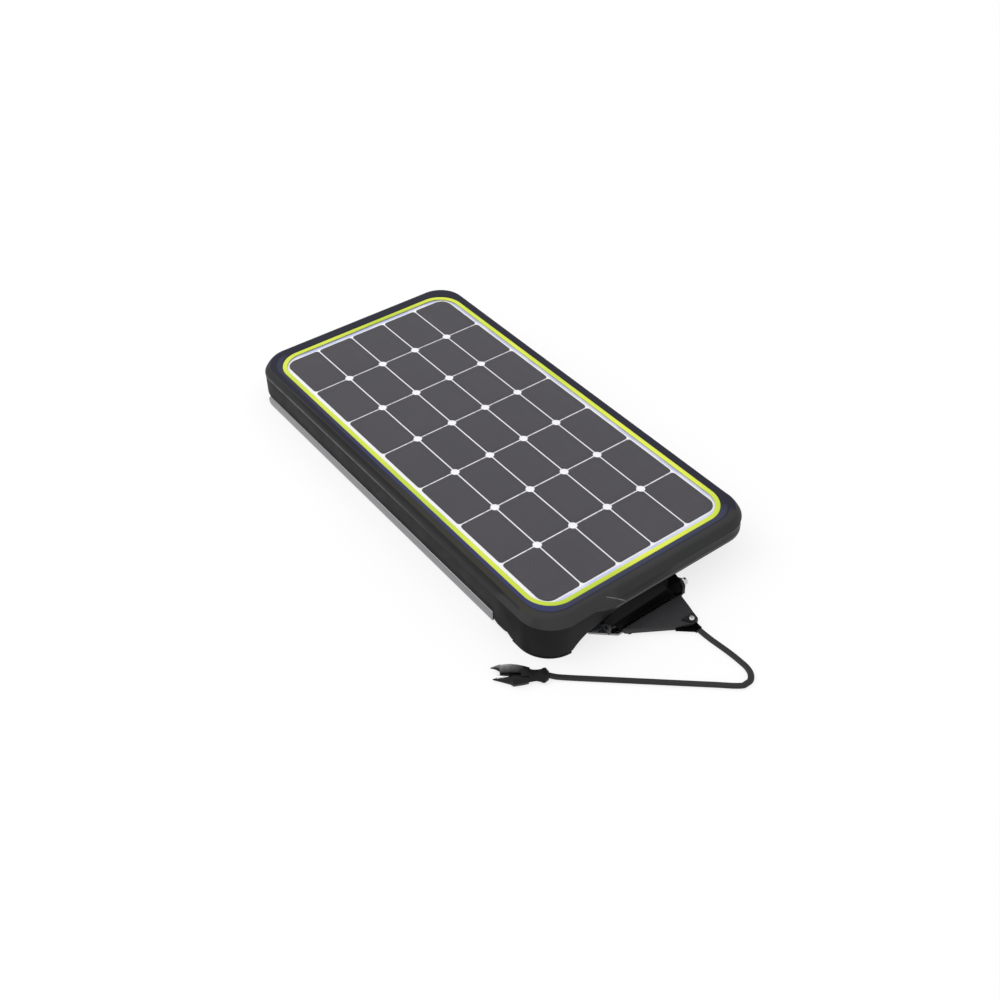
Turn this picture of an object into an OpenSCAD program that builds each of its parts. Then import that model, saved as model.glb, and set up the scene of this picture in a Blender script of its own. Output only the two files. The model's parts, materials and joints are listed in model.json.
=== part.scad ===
// Portable solar panel: framed cell panel, hinged foot with a short plug lead, and a folding U-shaped stand.
// Millimetres. The panel lies flat on its feet at z = 0, long side along Y, with the hinged foot at the -Y end.

/* [Panel] */
// Width over the frame
panel_w = 288; // [286:1:290]
// Length over the frame
panel_l = 558; // [556:1:562]
// Height of the frame's top face above the ground
panel_top = 52; // [51.5:0.5:53]
// Radius of the frame's outer corners
corner_r = 38; // [36:1:40]
// Width of the frame's face beside the accent ring, on the long sides
face_side = 17; // [16.5:0.5:17]
// Width of the frame's face beside the accent ring, at the ends
face_end = 20; // [19.5:0.5:20.5]
// Width of the accent ring
ring_band = 5.5; // [5:0.5:6]

/* [Cells] */
// Margin between the accent ring and the cells, on the long sides
cell_margin_side = 4; // [4:0.5:6]
// Margin between the accent ring and the cells, at the ends
cell_margin_end = 5; // [5:0.5:7]
// Gap between neighbouring cells
cell_gap = 1.8; // [1.2:0.2:2.4]
// Radius of the round clearing where four cells meet
cell_dot_r = 4.9; // [3.5:0.1:5.5]

/* [Tilt foot] */
// How far the foot reaches out past the frame
foot_reach = 47; // [47:1:49]
// Height of the pivot bolt's axis above the ground
pivot_z = 12; // [12:0.1:12.2]
// Radius of the pivot bolt's shank
pivot_bolt_r = 3; // [2.8:0.1:3.2]
// Radius of the holes that bolt the foot down
mount_hole_r = 2.75; // [2.5:0.25:3]
// Spacing of those holes across the panel
mount_span_x = 70; // [66:1:72]
// Spacing of those holes along the panel
mount_span_y = 18; // [16:1:18]

/* [Stand] */
// Height of a stand rail
rail_h = 12.5; // [12:0.5:12.5]
// Width of a stand rail
rail_w = 10; // [9:0.5:10]
// Radius of the stand's cross bar
bar_r = 4.5; // [4:0.25:4.75]
// Radius of the stand's pivot pins
stand_pin_r = 2.5; // [2:0.25:2.5]

/* [Lead] */
// Width of the flat twin lead
cord_w = 6.4; // [6:0.2:6.6]
// Thickness of the flat twin lead
cord_t = 3.4; // [3:0.2:3.6]

/* [Hidden] */
$fn = 48;
COLS = 5;
ROWS = 7;

// Everything is drawn about the panel's centre. The origin is under the middle of the whole part.
panel_y = foot_reach / 2;

// Panel face
ring_w = panel_w - 2 * face_side;
ring_l = panel_l - 2 * face_end;
ring_r = 32;
glass_top = panel_top - 1.4;
glass_t = 0.8;
cell_t = 0.3;
cell_top = glass_top - glass_t;
link_top = cell_top - cell_t;
link_t = 0.2;
film_top = link_top - link_t;
film_t = 0.4;
back_top = film_top - film_t;
back_t = 0.6;
bus_top = back_top - back_t;
bus_t = 0.4;
seal_t = 1;
ledge_top = bus_top - seal_t;
sheet_gap = 0.5;
sheet_w = ring_w - 2 * sheet_gap;
sheet_l = ring_l - 2 * sheet_gap;
sheet_r = ring_r - sheet_gap;

// Cells
field_w = ring_w - 2 * ring_band - 2 * cell_margin_side;
field_l = ring_l - 2 * ring_band - 2 * cell_margin_end;
pitch_x = field_w / COLS;
pitch_y = field_l / ROWS;
edge_corner_r = 4;
field_corner_r = 14;

// Frame
wall = 3;
wall_set = 0.7;
lip_h = 3.5;
rim_bottom = panel_top - 24;
side_bottom = 2 + rail_h + 0.5;
crease_z = panel_top - 10;
shoulder_in = 8;
bezel_t = 3;
bezel_in = 14;
ledge_t = 2.7;
boss_r = 4;
boss_hole_r = 1.5;
corner_bottom = 2;
corner_wall = 5;
corner_end_y = -199.5;
arch_x = -47;

// Rear tray
tray_gap = 0.4;
tray_t = 3;
tray_top = rim_bottom - 1;
tray_bottom = tray_top - tray_t;
tray_w = panel_w - 2 * (wall_set + wall + tray_gap);
tray_l = panel_l - 2 * (wall_set + wall + tray_gap);
rib_t = 2.5;
rib_top = bus_top - 2.5;
rib_x = 60;
rib_y = 130;
screw_x = panel_w / 2 - 8.7;
screw_y = panel_l / 2 - 10;
foot_post_r = 9;
rubber_foot_r = 10;
rubber_foot_t = 4;
foot_x = 110;
foot_far_y = 262;
foot_near_y = -234;

// Junction box, under the tray
box_w = 66;
box_l = 58;
box_y = -148;
box_wall = 2.5;
box_bottom = 10;
lead_x = 20;
lid_t = 2.5;

// Hinge between the panel and its foot
pivot_y = -panel_l / 2 - 2;
barrel_r = 7.5;
bush_r = 4.5;
run_gap = 0.05;
housing_x0 = -60;
sleeve_x0 = 18;
sleeve_x1 = 30;
ear_t = 4;
ear_r = 7.5;
bolt_head_h = 1.8;
bolt_head_r = 5.5;
ear_left_x = -61.2;
ear_right_x = 31.2;
plate_z0 = 1.5;
plate_z1 = 4;
cover_top = 8;
nose_y = -panel_l / 2 - foot_reach;
cable_x = 22;
cable_z = 19.5;
cable_r = 2.6;

// Stand
rail_x = panel_w / 2;
rail_z0 = 2;
stand_z = rail_z0 + rail_h / 2;
stand_y = 244;
rail_near_y = -198;
bar_y = -192;
bar_z = rail_z0 + 3 + bar_r;
bracket_t = 5.5;

// Turn button that holds the folded stand
latch_y = -205;
latch_z0 = 2;
latch_z1 = 4.5;

// Boot that the lead leaves through
relief_at = [12, -323.5];
relief_turn = -88;
relief_half = 5.4;
relief_z0 = 0.6;
relief_top = 5.6;

// Lead: route of its centre along the ground, from the strain relief to the plug
cord_z = cord_t / 2;
plug_z = 4;
CORD_ROUTE = [[12.3, -333, 3], [12.6, -337, 2.7], [13, -342, 2.2], [13.8, -350, cord_z],
              [15, -362, cord_z], [16, -374, cord_z], [16.3, -386, cord_z], [15.8, -396, cord_z],
              [12.6, -404.2, cord_z], [6.3, -409.4, cord_z], [-1.6, -409.9, cord_z], [-9.5, -405, cord_z],
              [-22, -394, cord_z], [-37, -381, cord_z], [-52, -368, cord_z], [-67, -355, cord_z],
              [-82, -342, cord_z], [-97, -329, cord_z], [-112, -316, cord_z], [-127, -303, cord_z],
              [-137, -294.5, 2.2], [-141, -291, 3.1], [-143.5, -288.8, plug_z]];
CORD_SIDES = 8;
plug_at = [-143.5, -288.8];
plug_turn = 139;

// ---- shared shapes ----

module at_panel() translate([0, panel_y, 0]) children();

// Rounded rectangle of size w x l with true round corners
module rounded(w, l, r) {
    square([w - 2 * r, l], center = true);
    square([w, l - 2 * r], center = true);
    for (sx = [-1, 1], sy = [-1, 1]) translate([sx * (w / 2 - r), sy * (l / 2 - r)]) circle(r, $fn = 96);
}

// Slab of a rounded rectangle between two heights
module slab(w, l, r, z0, z1) translate([0, 0, z0]) linear_extrude(z1 - z0) rounded(w, l, r);

// Flat ring between two rounded rectangles
module band(w, l, r, in_x, in_y, in_r, z0, z1)
    translate([0, 0, z0]) linear_extrude(z1 - z0) difference() {
        rounded(w, l, r);
        rounded(w - 2 * in_x, l - 2 * in_y, in_r);
    }

// Box between two corners
module block(a, b) translate(a) cube(b - a);

// Cylinder along X, Y or Z, from a point over a length
module rod_x(p, len, r) translate(p) rotate([0, 90, 0]) cylinder(h = len, r = r);
module rod_y(p, len, r) translate(p) rotate([-90, 0, 0]) cylinder(h = len, r = r);
module rod_z(p, len, r) translate(p) cylinder(h = len, r = r);

// A profile, x from the corner's centre and y upwards, carried round a rounded rectangle
module rim_sweep(w, l, r) {
    for (k = [0:3]) {
        sx = (k == 0 || k == 3) ? 1 : -1;
        sy = k < 2 ? 1 : -1;
        translate([sx * (w / 2 - r), sy * (l / 2 - r), 0]) rotate([0, 0, 90 * k])
            rotate_extrude(angle = 90, $fn = 96) children();
    }
    for (s = [0, 1]) {
        rotate([0, 0, 180 * s]) translate([w / 2 - r, 0, 0]) rotate([90, 0, 0])
            linear_extrude(l - 2 * r, center = true) children();
        rotate([0, 0, 180 * s]) translate([0, l / 2 - r, 0]) rotate([90, 0, 90])
            linear_extrude(w - 2 * r, center = true) children();
    }
}

// A (y, z) outline carried along X, and an (x, z) outline carried along Y
module along_x(x0, x1) translate([x0, 0, 0]) rotate([90, 0, 90]) linear_extrude(x1 - x0) children();
module along_y(y0, y1) translate([0, y1, 0]) rotate([90, 0, 0]) linear_extrude(y1 - y0) children();

// Point on a quadratic curve
function curve(a, b, c, t) = (1 - t) * (1 - t) * a + 2 * t * (1 - t) * b + t * t * c;

// Screw with a round head, shank upwards, head's underside at z
module screw_up(x, y, z, head_r, head_h, shank_r, len) {
    rod_z([x, y, z - head_h], head_h, head_r);
    rod_z([x, y, z - 0.01], len, shank_r);
}

// Where the tray's screws and the frame's bosses stand
module screw_places() {
    for (sx = [-1, 1], y = [-150, -20, 110, 200]) translate([sx * screw_x, y, 0]) children();
    for (sx = [-1, 1], sy = [-1, 1]) translate([sx * 80, sy * screw_y, 0]) children();
}

// ---- panel ----

module shoulder_profile() {
    r = corner_r;
    top = panel_top;
    polygon(concat(
        [[r - wall_set - wall, rim_bottom], [r - wall_set, rim_bottom], [r - wall_set, crease_z]],
        [for (k = [1:4]) curve([r - wall_set, crease_z], [r - 3, top - 3.2], [r - shoulder_in, top], k / 4)],
        [[r - bezel_in, top], [r - bezel_in, top - bezel_t], [r - shoulder_in - 1.5, top - bezel_t],
         [r - wall_set - wall, crease_z - 1.5]]));
}

// Outline of the near wall's lower edge: corner foot, flank, then the arch over the hinge
module near_edge_outline() {
    polygon(concat(
        [[-panel_w / 2 - 1, rim_bottom + 1], [-panel_w / 2 - 1, corner_bottom], [-105, corner_bottom]],
        [for (k = [1:4]) curve([-105, corner_bottom], [-94, 14], [-82, 17], k / 4)],
        [for (k = [1:5]) curve([-82, 17], [-62, 20.5], [-52, 26.5], k / 5)],
        [[arch_x, rim_bottom], [arch_x, rim_bottom + 1]]));
}

// Outline of the left wall's lower edge beside the corner: a small lobe, then the foot itself
module left_edge_outline() {
    polygon([[-panel_l / 2 - 1, rim_bottom + 1], [-panel_l / 2 - 1, corner_bottom], [-228, corner_bottom],
             [-223, 5.5], [-219, 4], [-206, 3.5], [-201, 6], [corner_end_y, 9],
             [corner_end_y, rim_bottom + 1]]);
}

// Deep corner that carries the near left foot, drawn clear of the tray
module corner_block() difference() {
    corner_solid();
    slab(tray_w + 2 * tray_gap, tray_l + 2 * tray_gap, corner_r - wall_set - wall, tray_bottom - tray_gap,
         rim_bottom + 1);
}

module corner_solid() intersection() {
    band(panel_w - 2 * wall_set, panel_l - 2 * wall_set, corner_r - wall_set, corner_wall, corner_wall,
         corner_r - wall_set - corner_wall, corner_bottom, rim_bottom + 0.5);
    along_y(-panel_l / 2, corner_end_y) near_edge_outline();
    along_x(-panel_w / 2, arch_x) left_edge_outline();
}

// Long wall below the rim, above a folded stand rail, with its far corner
module side_skirt(s) intersection() {
    band(panel_w - 2 * wall_set, panel_l - 2 * wall_set, corner_r - wall_set, wall, wall,
         corner_r - wall_set - wall, side_bottom, rim_bottom + 0.5);
    if (s < 0) block([-panel_w, corner_end_y - 1, 0], [-panel_w / 2 + corner_r, panel_l, panel_top]);
    if (s > 0) block([panel_w / 2 - corner_r, -230, 0], [panel_w, panel_l, panel_top]);
}

module near_lip() intersection() {
    band(panel_w, panel_l, corner_r, wall, wall, corner_r - wall, rim_bottom, rim_bottom + lip_h);
    union() {
        block([arch_x - 3, -panel_l, 0], [panel_w, -panel_l / 2 + corner_r, panel_top]);
        block([-panel_w / 2 + corner_r, panel_l / 2 - corner_r, 0],
              [panel_w / 2 - corner_r, panel_l, panel_top]);
    }
}

module front_frame() color("#2f2f33") at_panel() difference() {
    union() {
        rim_sweep(panel_w, panel_l, corner_r) shoulder_profile();
        difference() {
            slab(panel_w - 2 * bezel_in + 1, panel_l - 2 * bezel_in + 1, corner_r - bezel_in + 0.5,
                 panel_top - bezel_t, panel_top);
            slab(ring_w, ring_l, ring_r, panel_top - bezel_t - 1, panel_top + 1);
        }
        band(ring_w + 2 * wall, ring_l + 2 * wall, ring_r + wall, wall, wall, ring_r,
             ledge_top - ledge_t, panel_top - bezel_t + 0.5);
        band(ring_w + 2 * wall, ring_l + 2 * wall, ring_r + wall, wall + 9, wall + 9, ring_r - 9,
             ledge_top - ledge_t, ledge_top);
        screw_places() rod_z([0, 0, tray_top], panel_top - bezel_t + 0.5 - tray_top, boss_r);
        corner_block();
        for (s = [-1, 1]) side_skirt(s);
        near_lip();
    }
    screw_places() rod_z([0, 0, tray_top - 1], 13, boss_hole_r);
}

module accent_ring() color("#c6dc3c") at_panel()
    band(ring_w - 0.2, ring_l - 0.2, ring_r - 0.1, ring_band, ring_band, ring_r - ring_band,
         glass_top, panel_top - 0.4);

module cover_glass() color("#dfe8ee", 0.35) at_panel()
    slab(sheet_w, sheet_l, sheet_r, cell_top, glass_top);

// One column of cells. Corners between four cells are cut round, those at the border and field corner eased.
module cell_string(col) color("#3c3c42") at_panel()
    for (row = [0:ROWS - 1]) {
        x = (col - (COLS - 1) / 2) * pitch_x;
        y = (row - (ROWS - 1) / 2) * pitch_y;
        translate([x, y, cell_top - cell_t]) linear_extrude(cell_t) cell_outline(col, row);
    }

module cell_outline(col, row) {
    w = pitch_x - cell_gap;
    l = pitch_y - cell_gap;
    difference() {
        square([w, l], center = true);
        for (sx = [-1, 1], sy = [-1, 1]) {
            r = ease(col, row, sx, sy);
            if (r > 0) translate([sx * w / 2, sy * l / 2]) square(2 * r, center = true);
            else translate([sx * pitch_x / 2, sy * pitch_y / 2]) circle(cell_dot_r);
        }
    }
    for (sx = [-1, 1], sy = [-1, 1]) {
        r = ease(col, row, sx, sy);
        if (r > 0) translate([sx * (w / 2 - r), sy * (l / 2 - r)]) circle(r);
    }
}

// Radius of a cell's outside corner, or 0 where four cells meet
function ease(col, row, sx, sy) =
    let (side = sx < 0 ? col == 0 : col == COLS - 1, end = sy < 0 ? row == 0 : row == ROWS - 1)
    side && end ? field_corner_r : side || end ? edge_corner_r : 0;

module cell_string_1() cell_string(0);
module cell_string_2() cell_string(1);
module cell_string_3() cell_string(2);
module cell_string_4() cell_string(3);
module cell_string_5() cell_string(4);

// Link tabs that join each cell to the next one in its column
module cell_links() color("#e9e9ec") at_panel()
    for (col = [0:COLS - 1], row = [0:ROWS - 2], s = [-1, 1])
        translate([(col - (COLS - 1) / 2) * pitch_x + s * 11, (row + 1 - ROWS / 2) * pitch_y,
                   link_top - link_t / 2])
            cube([3, 12, link_t], center = true);

module encapsulant() color("#f4f4f6", 0.6) at_panel()
    slab(sheet_w, sheet_l, sheet_r, back_top, film_top);

module backsheet() color("#f6f6fa") at_panel()
    slab(sheet_w, sheet_l, sheet_r, bus_top, back_top);

// Flat ribbons that collect the columns at each end, behind the backsheet
module bus_ribbons() color("#c8a27a") at_panel()
    for (s = [-1, 1], k = [-1, 0, 1])
        translate([k * 76, s * (field_l / 2 - 8), bus_top - bus_t / 2]) cube([66, 4, bus_t], center = true);

// The two leads from the near ribbons down through the tray into the junction box
module string_leads() color("#b0b0b4") at_panel()
    for (s = [-1, 1]) {
        block([s * lead_x - 2, -field_l / 2 + 10, bus_top - bus_t], [s * lead_x + 2, box_y, bus_top]);
        block([s * lead_x - 2, box_y - 0.5, 18], [s * lead_x + 2, box_y, bus_top - bus_t + 0.01]);
    }

module laminate_seal() color("#1d1d1f") at_panel()
    band(sheet_w, sheet_l, sheet_r, 6, 6, sheet_r - 6, ledge_top, bus_top);

module rear_tray() color("#26262a") at_panel() difference() {
    union() {
        slab(tray_w, tray_l, corner_r - wall_set - wall - tray_gap, tray_bottom, tray_top);
        for (s = [-1, 1])
            block([s * rib_x - rib_t / 2, -235, tray_top - 0.5], [s * rib_x + rib_t / 2, 235, rib_top]);
        for (y = [-rib_y, 0, rib_y])
            block([-110, y - rib_t / 2, tray_top - 0.5], [110, y + rib_t / 2, rib_top]);
        for (p = [[-foot_x, foot_far_y], [foot_x, foot_far_y], [foot_x, foot_near_y]])
            rod_z([p[0], p[1], rubber_foot_t], tray_bottom - rubber_foot_t + 0.5, foot_post_r);
        rod_z([0, latch_y, latch_z1 + 0.4], tray_bottom - latch_z1, 5);
    }
    screw_places() rod_z([0, 0, 0], tray_top + 1, boss_hole_r + 0.2);
    for (s = [-1, 1])
        block([s * lead_x - 3, box_y - 2, tray_bottom - 1], [s * lead_x + 3, box_y + 1.5, tray_top + 1]);
    rod_z([0, latch_y, 0], 16, 1.5);
    hinge_screw_places() rod_z([0, 0, tray_bottom - 1], tray_t + 2, 1.7);
    bracket_screw_places() rod_z([0, 0, tray_bottom - 1], 3, 1.5);
    box_corner_places() rod_z([0, 0, tray_bottom - 1], 3, 1.25);
}

module support_foam() color("#4a4a4e") at_panel()
    for (s = [-1, 1])
        block([s * rib_x - 3, -225, rib_top], [s * rib_x + 3, 225, bus_top]);

module tray_screws() color("#8d8f93") at_panel()
    screw_places() screw_up(0, 0, tray_bottom, 3, 1.8, boss_hole_r - 0.02, 12);

// Rubber sole under the deep corner
module corner_sole() color("#19191a") at_panel() intersection() {
    band(panel_w - 2 * wall_set - 1, panel_l - 2 * wall_set - 1, corner_r - wall_set - 0.5,
         corner_wall - 1, corner_wall - 1, corner_r - wall_set - corner_wall + 0.5, 0, corner_bottom);
    block([-panel_w, -panel_l, 0], [-106, -230, corner_bottom]);
}

module rubber_feet() color("#19191a") at_panel()
    for (p = [[-foot_x, foot_far_y], [foot_x, foot_far_y], [foot_x, foot_near_y]])
        rod_z([p[0], p[1], 0], rubber_foot_t, rubber_foot_r);

// ---- hinge on the panel ----

module hinge_screw_places()
    for (x = [-40, -14, 12, 27.6]) translate([x, -258, 0]) children();

// Section of the hinge bar: sloping front, barrel round the bolt, and a back under the tray
module hinge_section() {
    translate([pivot_y, pivot_z]) circle(barrel_r);
    polygon([[pivot_y, pivot_z - barrel_r], [pivot_y + 13, pivot_z - 5], [pivot_y + 21, pivot_z + 1],
             [pivot_y + 33, pivot_z + 4], [pivot_y + 33, tray_bottom], [pivot_y + 5.6, tray_bottom],
             [pivot_y + 5.6, rim_bottom - 0.6], [pivot_y + 3, rim_bottom - 0.8], [pivot_y - 4, pivot_z + 8.5],
             [pivot_y - barrel_r, pivot_z]]);
}

module hinge_bar(x0, x1) difference() {
    along_x(x0, x1) hinge_section();
    rod_x([x0 - 1, pivot_y, pivot_z], x1 - x0 + 2, bush_r);
    hinge_screw_places() rod_z([0, 0, tray_bottom - 7], 8, 1.4);
}

// The bar's left end, kept low where the arch of the frame comes down over it
module hinge_stub_section() {
    translate([pivot_y, pivot_z]) circle(barrel_r);
    polygon([[pivot_y - barrel_r, pivot_z], [pivot_y - 4.5, pivot_z + 6.5], [pivot_y + 2, pivot_z + 9],
             [pivot_y + 6, pivot_z + 9], [pivot_y + 13, pivot_z - 5], [pivot_y, pivot_z - barrel_r]]);
}

module hinge_housing() color("#333436") at_panel() {
    hinge_bar(arch_x + 0.5, sleeve_x0);
    difference() {
        along_x(housing_x0, arch_x + 0.5) hinge_stub_section();
        rod_x([housing_x0 - 1, pivot_y, pivot_z], 40, bush_r);
    }
}

module hinge_sleeve() color("#141415") at_panel() difference() {
    hinge_bar(sleeve_x0, sleeve_x1);
    rod_y([cable_x, pivot_y + 14, cable_z], 30, cable_r);
}

module hinge_bushes() color("#1a1a1b") at_panel()
    for (x = [housing_x0, sleeve_x1 - 12]) difference() {
        rod_x([x, pivot_y, pivot_z], 12, bush_r);
        rod_x([x - 1, pivot_y, pivot_z], 14, pivot_bolt_r + run_gap);
    }

module hinge_screws() color("#8d8f93") at_panel()
    hinge_screw_places() {
        rod_z([0, 0, tray_top], 1.8, 3);
        rod_z([0, 0, tray_bottom - 6], tray_t + 6.01, 1.38);
    }

// ---- junction box ----

module box_corner_places()
    for (sx = [-1, 1], sy = [-1, 1])
        translate([sx * (box_w / 2 - 4.5), box_y + sy * (box_l / 2 - 4.5), 0]) children();

module junction_box() color("#1c1c1e") at_panel() difference() {
    union() {
        difference() {
            block([-box_w / 2, box_y - box_l / 2, box_bottom], [box_w / 2, box_y + box_l / 2, tray_bottom]);
            block([-box_w / 2 + box_wall, box_y - box_l / 2 + box_wall, box_bottom - 1],
                  [box_w / 2 - box_wall, box_y + box_l / 2 - box_wall, tray_bottom + 1]);
        }
        box_corner_places() translate([0, 0, (box_bottom + tray_bottom) / 2])
            cube([5, 5, tray_bottom - box_bottom], center = true);
    }
    box_corner_places() rod_z([0, 0, box_bottom - 1], 20, 1.25);
    rod_y([cable_x, box_y - box_l / 2 - 1, cable_z], 5, cable_r);
}

module box_seal() color("#55555a") at_panel() difference() {
    block([-box_w / 2, box_y - box_l / 2, box_bottom - 0.8], [box_w / 2, box_y + box_l / 2, box_bottom]);
    block([-box_w / 2 + 2.4, box_y - box_l / 2 + 2.4, box_bottom - 2],
          [box_w / 2 - 2.4, box_y + box_l / 2 - 2.4, box_bottom + 1]);
    box_corner_places() rod_z([0, 0, box_bottom - 2], 3, 1.4);
}

module box_lid() color("#1c1c1e") at_panel() difference() {
    block([-box_w / 2, box_y - box_l / 2, box_bottom - 0.8 - lid_t],
          [box_w / 2, box_y + box_l / 2, box_bottom - 0.8]);
    box_corner_places() rod_z([0, 0, 0], 20, 1.4);
}

module box_screws() color("#8d8f93") at_panel()
    box_corner_places() screw_up(0, 0, box_bottom - 0.8 - lid_t, 2.4, 1.4, 1.23, tray_bottom - 5);

module terminal_block() color("#3d4148") at_panel() difference() {
    block([-27, box_y - 4, 11.5], [27, box_y + 8, 18]);
    for (x = [-21, -7, 7, 21]) rod_z([x, box_y + 4, 10], 5, 1.5);
}

module bypass_diodes() color("#2b2b2b") at_panel()
    for (x = [-13, 13]) {
        rod_x([x - 4, box_y + 14, 15], 8, 2.6);
        rod_x([x - 8, box_y + 14, 15], 16, 0.6);
    }

module panel_cable() color("#202022") at_panel()
    rod_y([cable_x, pivot_y + 14.5, cable_z], box_y - box_l / 2 + 8 - pivot_y - 14.5, cable_r - 0.05);

// ---- stand: fixed pieces on the panel ----

module bracket_screw_places()
    for (sx = [-1, 1]) translate([sx * 118, stand_y, 0]) children();

module stand_brackets() color("#9a9ca0") at_panel()
    for (s = [-1, 1]) difference() {
        union() {
            rod_x([s > 0 ? rail_x - rail_w - 0.5 - bracket_t : -rail_x + rail_w + 0.5, stand_y, stand_z],
                  bracket_t, rail_h / 2 - 0.2);
            block([s > 0 ? rail_x - rail_w - 0.5 - bracket_t : -rail_x + rail_w + 0.5, stand_y - 6, stand_z],
                  [s > 0 ? rail_x - rail_w - 0.5 : -rail_x + rail_w + 0.5 + bracket_t, stand_y + 6,
                   tray_bottom]);
            block([s > 0 ? 112 : -rail_x + rail_w + bracket_t, stand_y - 6, tray_bottom - 3],
                  [s > 0 ? rail_x - rail_w - bracket_t : -112, stand_y + 6, tray_bottom]);
        }
        rod_x([s * 133 - 15, stand_y, stand_z], 30, stand_pin_r);
        bracket_screw_places() rod_z([0, 0, 10], 20, 1.7);
    }

module bracket_screws() color("#8d8f93") at_panel()
    bracket_screw_places() screw_up(0, 0, tray_bottom - 3, 3, 1.6, 1.48, 5);

module stand_pins() color("#b9bbc0") at_panel()
    for (s = [-1, 1]) {
        rod_x([s > 0 ? rail_x - rail_w - 0.5 - bracket_t : -rail_x + 1.5, stand_y, stand_z],
              rail_w + bracket_t - 1, stand_pin_r);
        rod_x([s > 0 ? rail_x - rail_w - 2.5 - bracket_t : -rail_x + rail_w + 0.5 + bracket_t,
               stand_y, stand_z], 2, stand_pin_r + 1.5);
    }

module latch_screw() color("#b9bbc0") at_panel()
    screw_up(0, latch_y, latch_z0 - 0.2, 4, 1.4, 1.48, 12);

// ---- stand ----

module stand_rail(s) color("#b4b6ba") at_panel() difference() {
    union() {
        difference() {
            block([s > 0 ? rail_x - rail_w : -rail_x, rail_near_y, rail_z0],
                  [s > 0 ? rail_x : -rail_x + rail_w, stand_y, rail_z0 + rail_h]);
            block([s > 0 ? rail_x - rail_w + 1.6 : -rail_x + 1.6, rail_near_y - 1, rail_z0 + 1.6],
                  [s > 0 ? rail_x - 1.6 : -rail_x + rail_w - 1.6, stand_y - 12, rail_z0 + rail_h - 1.6]);
        }
        rod_x([s > 0 ? rail_x - rail_w : -rail_x, stand_y, stand_z], rail_w, rail_h / 2);
    }
    rod_x([s * rail_x - 20, stand_y, stand_z], 40, stand_pin_r + 2 * run_gap);
}

module stand_rail_left() stand_rail(-1);
module stand_rail_right() stand_rail(1);

module rail_caps() color("#2a2a2c") at_panel()
    for (s = [-1, 1])
        block([s > 0 ? rail_x - rail_w + 1.6 : -rail_x + 1.6, rail_near_y, rail_z0 + 1.6],
              [s > 0 ? rail_x - 1.6 : -rail_x + rail_w - 1.6, rail_near_y + 1.5, rail_z0 + rail_h - 1.6]);

module stand_crossbar() color("#b4b6ba") at_panel()
    rod_x([-rail_x + rail_w, bar_y, bar_z], 2 * (rail_x - rail_w), bar_r);

module stand_grips() color("#1d1d1f") at_panel()
    for (s = [-1, 1]) difference() {
        rod_x([s * 75 - 28, bar_y, bar_z], 56, bar_r + 1.5);
        rod_x([s * 75 - 29, bar_y, bar_z], 58, bar_r);
    }

module latch_button() color("#232325") at_panel() difference() {
    union() {
        rod_z([0, latch_y, latch_z0], latch_z1 - latch_z0, 6);
        block([0, latch_y - 5, latch_z0], [14, latch_y + 5, latch_z1]);
    }
    rod_z([0, latch_y, 0], 10, 1.6);
}

// ---- foot ----

module foot_holes()
    for (sx = [-1, 1], sy = [-1, 1])
        translate([sx * mount_span_x / 2 - 15, sy * mount_span_y / 2 - 238, 0]) children();

// Skewed nose that carries the lead out, drawn in by an inset
module nose_outline(inset) {
    polygon([[-50 + 2 * inset, pivot_y - 8.5], [28 - inset, pivot_y - 8.5], [23.5 - inset, -308],
             [18.5 - inset, nose_y + inset + 1], [16 - inset, nose_y + inset], [10, nose_y + inset],
             [-6 + inset, -318.5 + inset], [-49 + 3 * inset, -292 + inset]]);
}

module base_plate() color("#a9abae") at_panel() difference() {
    translate([0, 0, plate_z0]) linear_extrude(plate_z1 - plate_z0) union() {
        polygon([[-78, -222], [37, -222], [37, -286], [30, pivot_y - 8.5], [-56, pivot_y - 8.5], [-78, -270]]);
        nose_outline(2);
    }
    foot_holes() rod_z([0, 0, 0], 10, mount_hole_r);
    ear_screw_places() rod_z([0, 0, 0], 10, 1.8);
    clamp_place() rod_z([0, 0, 0], 10, 1.5);
    at_relief() translate([-12, -relief_half - 0.2, 0]) cube([40, 2 * relief_half + 0.4, 6]);
}

module foot_pads() color("#161617") at_panel() {
    for (p = [[-70, -229], [32, -229], [-66, -272], [10, -301]]) rod_z([p[0], p[1], 0], plate_z0, 5);
    rod_z([-43, -291.5, 0], plate_z0, 3.2);
    rod_z([-31, -298.5, 0], plate_z0, 2.2);
}

module foot_cover() color("#4c4d4f") at_panel() difference() {
    translate([0, 0, plate_z0]) linear_extrude(cover_top - plate_z0) nose_outline(0);
    translate([0, 0, 0]) linear_extrude(plate_z1) nose_outline(1.9);
    clamp_place() rod_z([0, 0, 0], 20, 1.5);
    at_relief() translate([-12, -relief_half - 0.2, 0]) cube([40, 2 * relief_half + 0.4, relief_top + 0.2]);
}

module ear(x) difference() {
    union() {
        rod_x([x, pivot_y, pivot_z], ear_t, ear_r);
        along_x(x, x + ear_t) polygon([[pivot_y - ear_r, pivot_z], [pivot_y - 7.9, plate_z1], [pivot_y + 22, plate_z1],
                                       [pivot_y + 22, plate_z1 + 3], [pivot_y + ear_r, pivot_z]]);
    }
    rod_x([x - 1, pivot_y, pivot_z], ear_t + 2, pivot_bolt_r);
}

module ear_screw_places() {
    translate([-70.5, -265, 0]) children();
    translate([27.6, -262, 0]) children();
}

module hinge_ear_left() color("#1c1c1e") at_panel() difference() {
    union() {
        ear(ear_left_x - ear_t);
        block([-76, -272, plate_z1], [ear_left_x - ear_t + 1, -259, plate_z1 + 2]);
    }
    ear_screw_places() rod_z([0, 0, 0], 10, 1.8);
}

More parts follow.
